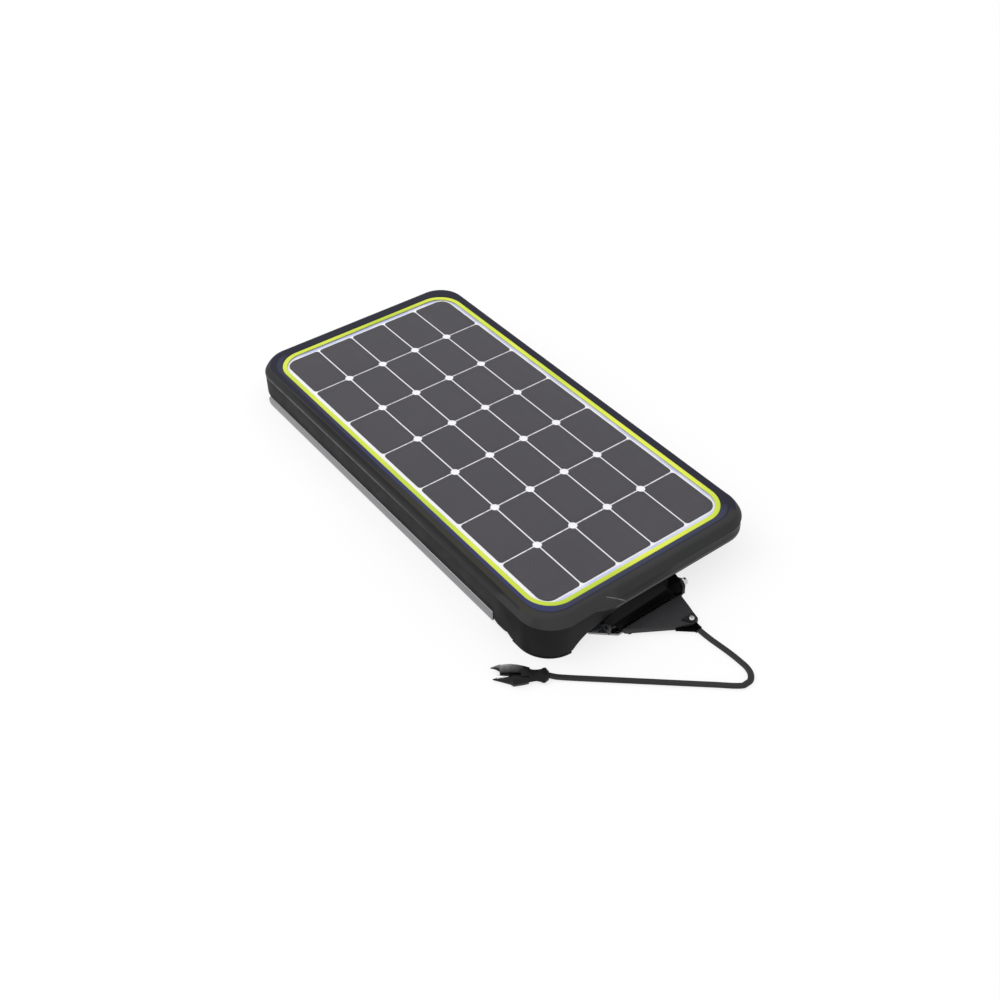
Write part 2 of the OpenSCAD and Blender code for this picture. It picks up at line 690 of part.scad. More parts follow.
module hinge_ear_right() color("#1c1c1e") at_panel() difference() {
    union() {
        ear(ear_right_x);
        block([24, pivot_y + 16, plate_z1], [ear_right_x + 1, pivot_y + 22, plate_z1 + 2]);
    }
    ear_screw_places() rod_z([0, 0, 0], 10, 1.8);
}

module ear_screws() color("#c4c6ca") at_panel()
    ear_screw_places() {
        rod_z([0, 0, plate_z1 + 2], 2, 3.2);
        rod_z([0, 0, plate_z0], plate_z1 - plate_z0 + 2.01, 1.78);
    }

module pivot_bolt() color("#c4c6ca") at_panel() {
    rod_x([ear_left_x - ear_t - 0.01, pivot_y, pivot_z], ear_right_x + ear_t + 5 - ear_left_x + ear_t,
          pivot_bolt_r - 0.005);
    rod_x([ear_left_x - ear_t - bolt_head_h, pivot_y, pivot_z], bolt_head_h, bolt_head_r);
}

module pivot_washers() color("#1a1a1b") at_panel()
    for (x = [ear_left_x + 0.2, sleeve_x1 + 0.2]) difference() {
        rod_x([x, pivot_y, pivot_z], 0.8, 6);
        rod_x([x - 1, pivot_y, pivot_z], 3, pivot_bolt_r + 0.1);
    }

module dome_nut() color("#c4c6ca") at_panel() difference() {
    union() {
        translate([ear_right_x + ear_t, pivot_y, pivot_z]) rotate([0, 90, 0]) cylinder(h = 3.6, r = 5.2, $fn = 6);
        rod_x([ear_right_x + ear_t + 3.5, pivot_y, pivot_z], 3.4, 3.9);
    }
    rod_x([ear_right_x + ear_t - 1, pivot_y, pivot_z], 6.02, pivot_bolt_r);
}

module clamp_place() translate([12.3, -321.5, 0]) children();
module at_relief() translate([relief_at[0], relief_at[1], 0]) rotate([0, 0, relief_turn]) children();

module cord_clamp() color("#3a3b3d") at_panel() difference() {
    translate([0, 0, cover_top]) linear_extrude(1.5)
        polygon([[4, -316], [20, -316], [18, -325], [9, -325]]);
    clamp_place() rod_z([0, 0, 0], 20, 1.5);
}

module clamp_screw() color("#d2d4d8") at_panel() clamp_place() {
    rod_z([0, 0, cover_top + 1.5], 2, 3);
    rod_z([0, 0, plate_z0 + 0.2], cover_top + 1.31 - plate_z0, 1.48);
}

// ---- lead ----

// Tapered flat boot that the lead leaves through, below the nose
module strain_relief() color("#151516") at_panel() difference() {
    at_relief() translate([0, 0, relief_z0]) linear_extrude(relief_top - relief_z0)
        polygon([[-11, -relief_half], [-1, -relief_half], [9.6, -cord_w / 2 - 0.2], [9.6, cord_w / 2 + 0.2],
                 [-1, relief_half], [-11, relief_half]]);
    clamp_place() rod_z([0, 0, 0], 20, 1.5);
}

// Ring of points round the route's point k, square to the way the route runs there
function heading(k) =
    let (a = CORD_ROUTE[max(k - 1, 0)], b = CORD_ROUTE[min(k + 1, len(CORD_ROUTE) - 1)], d = b - a)
    d / norm(d);
function across(k) = let (h = heading(k)) [h[1], -h[0], 0] / norm([h[1], -h[0]]);
function ring(k) =
    [for (j = [0:CORD_SIDES - 1])
        let (a = 360 * (j + 0.5) / CORD_SIDES)
        CORD_ROUTE[k] + cos(a) * cord_w / 2 / cos(22.5) * across(k)
            + [0, 0, sin(a) * cord_t / 2 / cos(22.5)]];

module cord() color("#3b3b3d") at_panel() {
    n = len(CORD_ROUTE);
    m = CORD_SIDES;
    polyhedron(
        points = [for (k = [0:n - 1]) each ring(k)],
        faces = concat(
            [[for (j = [0:m - 1]) j]],
            [for (k = [0:n - 2], j = [0:m - 1])
                [k * m + j, (k + 1) * m + j, (k + 1) * m + (j + 1) % m, k * m + (j + 1) % m]],
            [[for (j = [m - 1:-1:0]) (n - 1) * m + j]]));
}

module at_plug() translate([plug_at[0], plug_at[1], 0]) rotate([0, 0, plug_turn]) children();

// Moulded two-pole plug: collar at the lead, waist, then two tapering shrouds with a slot between them
module plug_body() color("#2c2c2e") at_panel() at_plug() difference() {
    union() {
        linear_extrude(2 * plug_z)
            polygon([[0, -5], [3, -7.5], [7, -8], [11, -5.5], [16, -5.5], [28, -9], [40, -11.5], [56, -10],
                     [44, -1.6], [30, -1.6], [30, 1.6], [44, 1.6], [56, 10], [40, 11.5], [28, 9], [16, 5.5],
                     [11, 5.5], [7, 8], [3, 7.5], [0, 5]]);
        translate([14, 0, 1]) linear_extrude(8.2)
            polygon([[0, -4], [14, -7], [26, -9], [26, -2.4], [14, -2.4], [14, 2.4], [26, 2.4], [26, 9], [14, 7],
                     [0, 4]]);
    }
    for (s = [-1, 1]) rod_x([30, s * 5.5, plug_z], 30, 2.05);
}

module plug_contacts() color("#cfd1d4") at_panel() at_plug()
    for (s = [-1, 1]) rod_x([30, s * 5.5, plug_z], s > 0 ? 20 : 14, 2);

// ---- drawing ----

front_frame();
accent_ring();
cover_glass();
cell_string_1();
cell_string_2();
cell_string_3();
cell_string_4();
cell_string_5();
cell_links();
encapsulant();
backsheet();
bus_ribbons();
string_leads();
laminate_seal();
rear_tray();
support_foam();
tray_screws();
corner_sole();
rubber_feet();
hinge_housing();
hinge_sleeve();
hinge_bushes();
hinge_screws();
junction_box();
box_seal();
box_lid();
box_screws();
terminal_block();
bypass_diodes();
panel_cable();
stand_brackets();
bracket_screws();
stand_pins();
latch_screw();
stand_rail_left();
stand_rail_right();
rail_caps();
stand_crossbar();
stand_grips();
latch_button();
base_plate();
foot_pads();
foot_cover();
hinge_ear_left();
hinge_ear_right();
ear_screws();
pivot_bolt();
pivot_washers();
dome_nut();
cord_clamp();
clamp_screw();
strain_relief();
cord();
plug_body();
plug_contacts();
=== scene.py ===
"""Looks of a portable solar panel: framed cell panel, fold-out stand, tilt foot and a short flat lead.

Metres in the scene, millimetres in the named values. `at(x, y, z)` turns millimetres measured from
the panel's centre (and up from the ground) into the frame's metres.
"""

import json
import math

import bmesh
import bpy
import numpy as np
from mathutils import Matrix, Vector


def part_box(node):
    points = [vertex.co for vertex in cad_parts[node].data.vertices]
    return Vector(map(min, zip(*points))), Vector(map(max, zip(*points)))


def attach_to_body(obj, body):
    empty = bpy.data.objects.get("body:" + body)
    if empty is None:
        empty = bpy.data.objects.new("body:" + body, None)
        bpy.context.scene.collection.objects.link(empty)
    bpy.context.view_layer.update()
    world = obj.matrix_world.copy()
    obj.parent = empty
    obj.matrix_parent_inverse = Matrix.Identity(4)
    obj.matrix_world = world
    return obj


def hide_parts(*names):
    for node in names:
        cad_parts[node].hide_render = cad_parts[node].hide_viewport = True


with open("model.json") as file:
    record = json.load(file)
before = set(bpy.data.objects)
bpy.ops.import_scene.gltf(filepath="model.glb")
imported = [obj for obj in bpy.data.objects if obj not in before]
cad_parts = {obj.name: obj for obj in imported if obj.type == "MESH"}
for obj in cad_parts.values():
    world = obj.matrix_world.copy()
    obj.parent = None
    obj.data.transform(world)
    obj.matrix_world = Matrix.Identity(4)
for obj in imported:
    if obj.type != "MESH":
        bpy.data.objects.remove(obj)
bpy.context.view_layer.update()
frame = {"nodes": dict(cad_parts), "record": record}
NODES = frame["nodes"]

MM = 0.001

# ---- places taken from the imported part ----

shell_lo, shell_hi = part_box("front_frame")
ring_lo, ring_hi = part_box("accent_ring")
PANEL_Y = (shell_lo[1] + shell_hi[1]) / 2
PANEL_W = (shell_hi[0] - shell_lo[0]) / MM
PANEL_L = (shell_hi[1] - shell_lo[1]) / MM
TOP = shell_hi[2] / MM
RING_W = (ring_hi[0] - ring_lo[0]) / MM + 0.2
RING_L = (ring_hi[1] - ring_lo[1]) / MM + 0.2
RING_BAND = 5.5
RING_SEAT = ring_lo[2] / MM
LEDGE_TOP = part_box("laminate_seal")[0][2] / MM
FIELD_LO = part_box("cell_string_1")[0]
FIELD_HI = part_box("cell_string_5")[1]
PIVOT_Y = -PANEL_L / 2 - 2


def at(x, y, z):
    """Millimetres about the panel's centre to metres in the frame."""
    return Vector((x * MM, y * MM + PANEL_Y, z * MM))


# ---- camera ----

LENS = 45.0
CAMERA_AZIMUTH = math.radians(-37.39)
CAMERA_ELEVATION = math.radians(42.11)
CAMERA_DISTANCE = 1.3135
CAMERA_TARGET = Vector((-0.061, -0.0795, 0.052))


def add_camera():
    back = Vector((
        math.sin(CAMERA_AZIMUTH) * math.cos(CAMERA_ELEVATION),
        -math.cos(CAMERA_AZIMUTH) * math.cos(CAMERA_ELEVATION),
        math.sin(CAMERA_ELEVATION),
    ))
    data = bpy.data.cameras.new("camera")
    data.lens = LENS
    data.clip_start = 0.01
    camera = bpy.data.objects.new("camera", data)
    bpy.context.collection.objects.link(camera)
    camera.location = CAMERA_TARGET + back * CAMERA_DISTANCE
    camera.rotation_mode = "QUATERNION"
    camera.rotation_quaternion = (-back).to_track_quat("-Z", "Y")
    bpy.context.scene.camera = camera


add_camera()

# ---- mesh helpers ----

SHARP = 38


def attach(name, mesh, body, slot, replaces):
    """Puts a finished mesh in the scene with the material of its slot, on its body, and hides the CAD nodes
    it stands for.
    """
    mesh.materials.append(MATERIALS[slot])
    obj = bpy.data.objects.new(name, mesh)
    bpy.context.collection.objects.link(obj)
    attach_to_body(obj, body)
    if replaces:
        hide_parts(*replaces)
    return obj


def piece(name, verts, faces, body, slot, replaces=(), marks=None, sharp=SHARP):
    """A closed mesh with smooth shading, sharp only where its faces turn by more than `sharp` degrees."""
    mesh = bpy.data.meshes.new(name)
    mesh.from_pydata([tuple(v) for v in verts], [], faces)
    for mark, values in (marks or {}).items():
        layer = mesh.attributes.new(mark, "FLOAT", "POINT")
        layer.data.foreach_set("value", values)
    finish_mesh(mesh, sharp)
    return attach(name, mesh, body, slot, replaces)


def finish_mesh(mesh, sharp):
    """Outward normals, and smooth shading broken at sharp edges."""
    bm = bmesh.new()
    bm.from_mesh(mesh)
    bmesh.ops.recalc_face_normals(bm, faces=bm.faces)
    for face in bm.faces:
        face.smooth = True
    for edge in bm.edges:
        edge.smooth = edge.calc_face_angle(0) < math.radians(sharp)
    bm.to_mesh(mesh)
    bm.free()


def read_off(table, x):
    """The value at x on a broken line through a table's points."""
    return float(np.interp(x, *zip(*table)))


def loft_faces(rows, columns, closed_rows=False):
    """Quads between rings of `columns` points; `closed_rows` joins the last ring to the first."""
    faces = []
    for i in range(rows if closed_rows else rows - 1):
        a, b = i * columns, (i + 1) % rows * columns
        for j in range(columns):
            k = (j + 1) % columns
            faces.append((a + j, a + k, b + k, b + j))
    return faces


def capped_loft(rings):
    """Vertices and faces of rings joined in turn, with a face over each end."""
    columns = len(rings[0])
    faces = loft_faces(len(rings), columns)
    faces.append(tuple(range(columns))[::-1])
    faces.append(tuple((len(rings) - 1) * columns + j for j in range(columns)))
    return [p for ring in rings for p in ring], faces


def smoothstep(lo, hi, x):
    t = min(max((x - lo) / (hi - lo), 0.0), 1.0)
    return t * t * (3 - 2 * t)


def slab_piece(name, outline, axis, lo, hi, bevel, body, slot, replaces=(), segments=3):
    """An outline in millimetres, carried from lo to hi along an axis, with its rims rounded.

    axis "x" takes (y, z) points and "z" takes (x, y).
    """
    place = {"x": lambda u, v, w: at(w, u, v), "z": lambda u, v, w: at(u, v, w)}[axis]
    bm = bmesh.new()
    rims = []
    for w in (lo, hi):
        rims.append([bm.verts.new(place(u, v, w)) for u, v in outline])
    caps = [bm.faces.new(rims[0][::-1]), bm.faces.new(rims[1])]
    count = len(outline)
    for j in range(count):
        bm.faces.new((rims[0][j], rims[0][(j + 1) % count], rims[1][(j + 1) % count], rims[1][j]))
    bmesh.ops.recalc_face_normals(bm, faces=bm.faces)
    rim_edges = [e for cap in caps for e in cap.edges]
    bmesh.ops.bevel(bm, geom=rim_edges, offset=bevel * MM, segments=segments, profile=0.6,
                    affect="EDGES", clamp_overlap=True)
    mesh = bpy.data.meshes.new(name)
    bm.to_mesh(mesh)
    bm.free()
    finish_mesh(mesh, SHARP)
    return attach(name, mesh, body, slot, replaces)


def arc(cx, cy, r, start, end, steps):
    """Points on a circle from one angle to another, in degrees."""
    angles = [math.radians(start + (end - start) * k / steps) for k in range(steps + 1)]
    return [(cx + r * math.cos(a), cy + r * math.sin(a)) for a in angles]


def turned(profile, centre, axis, segments=48):
    """Rings of a turned shape: (radius, height) pairs about an axis through centre, in millimetres."""
    axis = Vector(axis).normalized()
    side = axis.orthogonal().normalized()
    other = axis.cross(side)
    rings = []
    for radius, height in profile:
        ring = []
        for k in range(segments):
            a = 2 * math.pi * k / segments
            r = radius(a) if callable(radius) else radius
            outward = side * math.cos(a) + other * math.sin(a)
            ring.append(Vector(centre) + (axis * height + outward * r) * MM)
        rings.append(ring)
    return rings


def closed_turning(profile, centre, axis):
    """Vertices and faces of a turned ring with a hole through it."""
    rings = turned(profile, centre, axis)
    return [p for ring in rings for p in ring], loft_faces(len(rings), len(rings[0]), closed_rows=True)


def islands(node):
    """Vertices of each separate solid of a CAD node, as arrays."""
    mesh = NODES[node].data
    points = np.array([v.co[:] for v in mesh.vertices])
    keys = {}
    parent = list(range(len(points)))

    def root(i):
        while parent[i] != i:
            parent[i] = parent[parent[i]]
            i = parent[i]
        return i

    for i, p in enumerate(points):
        first = keys.setdefault(tuple(np.round(p, 6)), i)
        parent[root(i)] = root(first)
    for edge in mesh.edges:
        parent[root(edge.vertices[0])] = root(edge.vertices[1])
    groups = {}
    for i in range(len(points)):
        groups.setdefault(root(i), []).append(i)
    return [points[members] for members in groups.values()]


def merge(parts):
    """Vertices and faces of several closed shapes as one list."""
    verts, faces = [], []
    for part_verts, part_faces in parts:
        base = len(verts)
        verts += part_verts
        faces += [tuple(base + i for i in face) for face in part_faces]
    return verts, faces


def soften(obj, width, segments=2):
    """Rounds an object's sharp edges by a modifier."""
    rounding = obj.modifiers.new("rounding", "BEVEL")
    rounding.width = width * MM
    rounding.segments = segments
    rounding.limit_method = "ANGLE"
    rounding.angle_limit = math.radians(32)
    rounding.harden_normals = True
    rounding.use_clamp_overlap = True
    rounding.miter_outer = "MITER_ARC"


def dress(node, material, bevel=0.0):
    """Gives a CAD node its material and, by modifiers, rounded edges."""
    obj = NODES[node]
    obj.data.materials.clear()
    obj.data.materials.append(material)
    if bevel:
        weld = obj.modifiers.new("weld", "WELD")
        weld.merge_threshold = 0.00001
        soften(obj, bevel)


# ---- materials ----


def srgb(*channels):
    """0-255 screen values to linear."""
    out = []
    for c in channels:
        c = c / 255
        out.append(c / 12.92 if c <= 0.04045 else ((c + 0.055) / 1.055) ** 2.4)
    return out


class Graph:
    """A material's node tree, with short calls for the nodes used here."""

    def __init__(self, name):
        self.material = bpy.data.materials.new(name)
        self.material.use_nodes = True
        self.nodes = self.material.node_tree.nodes
        self.links = self.material.node_tree.links
        self.shader = self.nodes["Principled BSDF"]
        self.object_coords = self.nodes.new("ShaderNodeTexCoord").outputs["Object"]

    def link(self, out, socket):
        self.links.new(out, socket)

    def mark(self, name):
        """A value carried by the mesh's points."""
        node = self.nodes.new("ShaderNodeAttribute")
        node.attribute_name = name
        return node.outputs["Fac"]

    def scaled(self, sx, sy, sz):
        mapping = self.nodes.new("ShaderNodeMapping")
        mapping.inputs["Scale"].default_value = (sx, sy, sz)
        self.link(self.object_coords, mapping.inputs["Vector"])
        return mapping.outputs["Vector"]

    def noise(self, scale, detail=2.0, vector=None):
        node = self.nodes.new("ShaderNodeTexNoise")
        node.inputs["Scale"].default_value = scale
        node.inputs["Detail"].default_value = detail
        self.link(vector or self.object_coords, node.inputs["Vector"])
        return node.outputs["Fac"]

    def ramp(self, fac, stops):
        node = self.nodes.new("ShaderNodeValToRGB")
        elements = node.color_ramp.elements
        while len(elements) < len(stops):
            elements.new(0.5)
        for element, (position, colour) in zip(elements, stops):
            element.position = position
            element.color = (*colour, 1)
        self.link(fac, node.inputs["Fac"])
        return node.outputs["Color"]

    def mix(self, fac, a, b, blend="MIX"):
        node = self.nodes.new("ShaderNodeMix")
        node.data_type = "RGBA"
        node.blend_type = blend
        for value, socket in ((fac, node.inputs[0]), (a, node.inputs[6]), (b, node.inputs[7])):
            if isinstance(value, (int, float)):
                socket.default_value = value
            elif isinstance(value, (list, tuple)):
                socket.default_value = (*value, 1)
            else:
                self.link(value, socket)
        return node.outputs[2]

    def math(self, operation, a, b=None):
        node = self.nodes.new("ShaderNodeMath")
        node.operation = operation
        for value, socket in zip((a, b), node.inputs):
            if value is None:
                continue
            if isinstance(value, (int, float)):
                socket.default_value = value
            else:
                self.link(value, socket)
        return node.outputs[0]

    def step(self, value, lo, hi, to_lo=0.0, to_hi=1.0):
        node = self.nodes.new("ShaderNodeMapRange")
        node.interpolation_type = "SMOOTHSTEP"
        for number, name in ((lo, "From Min"), (hi, "From Max"), (to_lo, "To Min"), (to_hi, "To Max")):
            node.inputs[name].default_value = number
        self.link(value, node.inputs["Value"])
        return node.outputs["Result"]

    def bump(self, height, strength, distance):
        node = self.nodes.new("ShaderNodeBump")
        node.inputs["Strength"].default_value = strength
        node.inputs["Distance"].default_value = distance
        self.link(height, node.inputs["Height"])
        self.link(node.outputs["Normal"], self.shader.inputs["Normal"])

    def set(self, **values):
        names = {"metallic": "Metallic", "specular": "Specular IOR Level", "alpha": "Alpha",
                 "roughness": "Roughness"}
        for key, value in values.items():
            self.shader.inputs[names[key]].default_value = value


def varied(graph, colour, spread, scale):
    """A colour that drifts lighter and darker over a soft noise."""
    dark = [c * (1 - spread) for c in colour]
    light = [min(c * (1 + spread), 1) for c in colour]
    return graph.ramp(graph.noise(scale, 3), [(0.3, dark), (0.7, light)])


def moulded(name, colour, rough=0.5, grain=0.05, specular=0.3, spread=0.12, grain_scale=1500):
    """Moulded plastic or rubber: fine grain in the bump, a slow drift in colour and gloss."""
    g = Graph(name)
    g.link(varied(g, colour, spread, 18), g.shader.inputs["Base Color"])
    g.link(g.step(g.noise(60, 4), 0.3, 0.7, rough - 0.06, rough + 0.06), g.shader.inputs["Roughness"])
    g.bump(g.noise(grain_scale, 2), grain, 0.0002)
    g.set(specular=specular)
    return g.material


def plug_material():
    """Glossy black plastic with a painted highlight along its upper jaw's edge and tip."""
    g = Graph("plug_plastic")
    base = varied(g, PLUG_COLOUR, 0.25, 60)
    highlight_patches = g.math("MULTIPLY", g.mark("painted_highlight"), g.step(g.noise(120, 3), 0.25, 0.65, 0.55, 1.0))
    g.link(g.mix(highlight_patches, base, PLUG_HIGHLIGHT), g.shader.inputs["Base Color"])
    g.link(g.step(g.noise(80, 4), 0.3, 0.7, 0.18, 0.32), g.shader.inputs["Roughness"])
    g.bump(g.noise(1200, 2), 0.04, 0.0002)
    g.set(specular=0.2)
    return g.material


def hinge_material():
    """Satin black with painted light: the upper facets, marked by "tone", are painted dark grey as lit, the
    rest near black as shaded.
    """
    g = Graph("hinge_plastic")
    drift = g.ramp(g.noise(30, 3), [(0.3, [0.8] * 3), (0.7, [1.0] * 3)])
    shade = g.mix(g.mark("tone"), HINGE_BLACK, HINGE_LIT_GREY)
    g.link(g.mix(1.0, shade, drift, "MULTIPLY"), g.shader.inputs["Base Color"])
    g.link(g.step(g.noise(60, 4), 0.3, 0.7, 0.44, 0.56), g.shader.inputs["Roughness"])
    g.bump(g.noise(1500, 2), 0.06, 0.0002)
    g.set(specular=0.03)
    return g.material


def metal(name, colour, rough=0.3, direction="X", brushed=0.08, streak=1200):
    """Metal with fine directional brushing."""
    g = Graph(name)
    scales = {"X": (4, streak, streak), "Y": (streak, 4, streak), "Z": (streak, streak, 4)}[direction]
    lines = g.noise(1, 3, g.scaled(*scales))
    g.link(g.ramp(lines, [(0.25, [c * 0.82 for c in colour]), (0.75, colour)]), g.shader.inputs["Base Color"])
    g.link(g.step(lines, 0.2, 0.8, rough - 0.07, rough + 0.1), g.shader.inputs["Roughness"])
    g.bump(lines, brushed, 0.0001)
    g.set(metallic=1.0)
    return g.material


def frame_material():
    """Shell plastic. "tone" runs from the corner foot, painted dark as shade, through the walls, to the face
    and the navy line by the ring, which is painted reflection.

    "warm" is an olive cast on the left of the face, and a further mark gives painted highlights along the
    left crease, the lip's upper edge and the fold.
    """
    g = Graph("frame_plastic")
    stops = [
        (0.0, SHADED_FOOT_COLOUR), (0.20, WALL_COLOUR), (0.26, WALL_COLOUR), (0.36, NEUTRAL_COLOUR),
        (0.42, NEUTRAL_COLOUR), (0.50, BEZEL_COLOUR), (0.62, BEZEL_COLOUR), (0.78, EDGE_REFLECTION_COLOUR),
        (0.95, NAVY_REFLECTION_COLOUR),
    ]
    colour = g.ramp(g.mark("tone"), stops)
    drift = g.ramp(g.noise(14, 3), [(0.3, [0.90] * 3), (0.7, [1.0] * 3)])
    colour = g.mix(g.mark("warm"), colour, OLIVE_COLOUR)
    colour = g.mix(1.0, colour, drift, "MULTIPLY")
    # Painted highlight: the light grey laid, in patches, where the mesh marks a highlight.
    highlight_amount = g.math("MULTIPLY", g.mark("painted_highlight"), g.step(g.noise(90, 3), 0.25, 0.6, 0.6, 1.0))
    g.link(g.mix(highlight_amount, colour, HIGHLIGHT_COLOUR), g.shader.inputs["Base Color"])
    g.link(g.step(g.noise(50, 4), 0.3, 0.7, 0.42, 0.52), g.shader.inputs["Roughness"])
    g.bump(g.noise(1600, 2), 0.05, 0.0002)
    g.set(specular=0.05)
    return g.material


def cell_material():
    """Dark silicon: very faint printed fingers and a slight drift from place to place."""
    g = Graph("solar_cell")
    fingers = g.noise(1, 2, g.scaled(3, FINGER_SCALE, 3))
    tint = g.ramp(fingers, [(0.35, CELL_COLOUR), (0.75, [c * 1.07 for c in CELL_COLOUR])])
    cloud = g.ramp(g.noise(9, 2), [(0.3, [0.94] * 3), (0.7, [1.0] * 3)])
    g.link(g.mix(1.0, tint, cloud, "MULTIPLY"), g.shader.inputs["Base Color"])
    g.link(g.step(g.noise(12, 2), 0.3, 0.7, 0.40, 0.48), g.shader.inputs["Roughness"])
    g.set(specular=0.2)
    return g.material


def film_material(field_w, field_l):
    """White film behind the cells, with a pale lavender margin next to the ring."""
    g = Graph("white_film")
    split = g.nodes.new("ShaderNodeSeparateXYZ")
    g.link(g.object_coords, split.inputs[0])
    x = split.outputs[0]
    y = g.math("SUBTRACT", split.outputs[1], PANEL_Y)
    out_x = g.math("SUBTRACT", g.math("ABSOLUTE", x), field_w / 2 * MM)
    out_y = g.math("SUBTRACT", g.math("ABSOLUTE", y), field_l / 2 * MM)
    outside = g.math("MAXIMUM", out_x, out_y)
    margin = g.step(outside, 0.0012, 0.0020)
    off_left = g.step(x, -0.116, -0.108)
    patches = g.step(g.noise(22, 1), 0.40, 0.55, 0.55, 1.0)
    amount = g.math("MULTIPLY", g.math("MULTIPLY", margin, off_left), patches)
    g.link(g.mix(amount, FILM_COLOUR, LAVENDER_COLOUR), g.shader.inputs["Base Color"])
    g.link(g.step(g.noise(200, 2), 0.3, 0.7, 0.38, 0.46), g.shader.inputs["Roughness"])
    g.set(specular=0.3)
    return g.material


def glass_material():
    """Clear cover with a very faint rippled surface."""
    g = Graph("clear_cover")
    g.link(g.ramp(g.noise(30, 2), [(0.3, (0.085, 0.085, 0.09)), (0.7, (0.10, 0.10, 0.105))]),
           g.shader.inputs["Base Color"])
    g.link(g.step(g.noise(40, 2), 0.3, 0.7, 0.10, 0.16), g.shader.inputs["Roughness"])
    g.set(alpha=GLASS_ALPHA, specular=0.2)
    return g.material


def lime_material():
    """Lime trim, drifting between yellower and greener, as moulded soft plastic does."""
    g = Graph("lime_trim")
    base = g.ramp(g.noise(7, 2), [(0.35, LIME_GREEN), (0.65, LIME_YELLOW)])
    g.link(base, g.shader.inputs["Base Color"])
    g.link(g.step(g.noise(150, 3), 0.3, 0.7, 0.34, 0.44), g.shader.inputs["Roughness"])
    g.bump(g.noise(1500, 2), 0.03, 0.0001)
    g.set(specular=0.3)
    return g.material


# Shell colours: the darkest paints shade on the corner foot, the two blues by the ring paint a reflection,
# and the light grey paints highlights.
SHADED_FOOT_COLOUR = srgb(18, 18, 19)
WALL_COLOUR = srgb(41, 42, 41)
NEUTRAL_COLOUR = srgb(59, 59, 60)
OLIVE_COLOUR = srgb(60, 59, 49)
BEZEL_COLOUR = srgb(45, 45, 57)
EDGE_REFLECTION_COLOUR = srgb(62, 65, 85)
NAVY_REFLECTION_COLOUR = srgb(60, 62, 100)
HIGHLIGHT_COLOUR = srgb(132, 132, 134)
CELL_COLOUR = srgb(71, 69, 74)
# Hinge: near black for its shaded facets, dark grey painted on its lit upper facets.
HINGE_BLACK = srgb(4, 4, 5)
HINGE_LIT_GREY = srgb(28, 28, 29)
PLUG_COLOUR = srgb(10, 10, 11)
# Light grey painted on the plug's upper jaw as a highlight.
PLUG_HIGHLIGHT = srgb(176, 176, 178)
FILM_COLOUR = srgb(250, 250, 253)
LAVENDER_COLOUR = srgb(205, 208, 246)
LIME_GREEN = srgb(184, 203, 54)
LIME_YELLOW = srgb(222, 230, 80)
GLASS_ALPHA = 0.03
FINGER_SCALE = 160
CELL_FIELD_W = (FIELD_HI[0] - FIELD_LO[0]) / MM
CELL_FIELD_L = (FIELD_HI[1] - FIELD_LO[1]) / MM

MATERIALS = {
    "frame_plastic": frame_material(),
    "lime_trim": lime_material(),
    "clear_cover": glass_material(),
    "solar_cell": cell_material(),
    "white_film": film_material(CELL_FIELD_W, CELL_FIELD_L),
    "tinned_ribbon": metal("tinned_ribbon", (0.82, 0.82, 0.84), 0.35, "Y"),
    "foam": moulded("foam", (0.05, 0.05, 0.055), 0.85, 0.4, 0.1, 0.3, 900),
    "shell_plastic": moulded("shell_plastic", srgb(34, 34, 36), 0.5, 0.12),
    "steel": metal("steel", (0.62, 0.63, 0.65), 0.25, "Z"),
    "foot_rubber": moulded("foot_rubber", srgb(26, 26, 26), 0.75, 0.2, 0.2),
    "hinge_plastic": hinge_material(),
    "black_rubber": moulded("black_rubber", srgb(2, 2, 2), 0.6, 0.15, 0.02),
    "nylon": moulded("nylon", srgb(22, 22, 23), 0.4, 0.05, 0.2),
    "terminal_plastic": moulded("terminal_plastic", srgb(62, 66, 74), 0.45, 0.05),
    "cord_jacket": moulded("cord_jacket", srgb(36, 36, 38), 0.36, 0.05, 0.25, 0.15),
    "painted_steel": moulded("painted_steel", srgb(58, 59, 61), 0.5, 0.15, 0.15),
    "black_steel": moulded("black_steel", srgb(24, 24, 25), 0.45, 0.1, 0.15),
    "stand_aluminium": metal("stand_aluminium", (0.29, 0.29, 0.30), 0.36, "Y"),
    "plate_metal": metal("plate_metal", (0.30, 0.30, 0.31), 0.34, "X"),
    "cover_plastic": moulded("cover_plastic", srgb(42, 42, 44), 0.42, 0.07, 0.2),
    "plug_plastic": plug_material(),
    "contact_metal": metal("contact_metal", (0.85, 0.85, 0.87), 0.15, "X", 0.03),
}

# ---- lead, boot and plug ----

CORD_WIDTH = 6.4
CORD_THICK = 3.4
CORD_ROUTE = [
    (12.3, -333, 3), (12.6, -337, 2.7), (13, -342, 2.2), (13.8, -350, 1.7), (15, -362, 1.7),
    (16, -374, 1.7), (16.3, -386, 1.7), (15.8, -396, 1.7), (12.6, -404.2, 1.7), (6.3, -409.4, 1.7),
    (-1.6, -409.9, 1.7), (-9.5, -405, 1.7), (-22, -394, 1.7), (-37, -381, 1.7), (-52, -368, 1.7),
    (-67, -355, 1.7), (-82, -342, 1.7), (-97, -329, 1.7), (-112, -316, 1.7), (-127, -303, 1.7),
    (-137, -294.5, 2.2), (-141, -291, 3.1), (-143.5, -288.8, 4),
]
CORD_STEPS = 5
# Limit of the centreline at the outer bend, so that the lead's edge stays in the part's box
CORD_NEAREST = -409.7


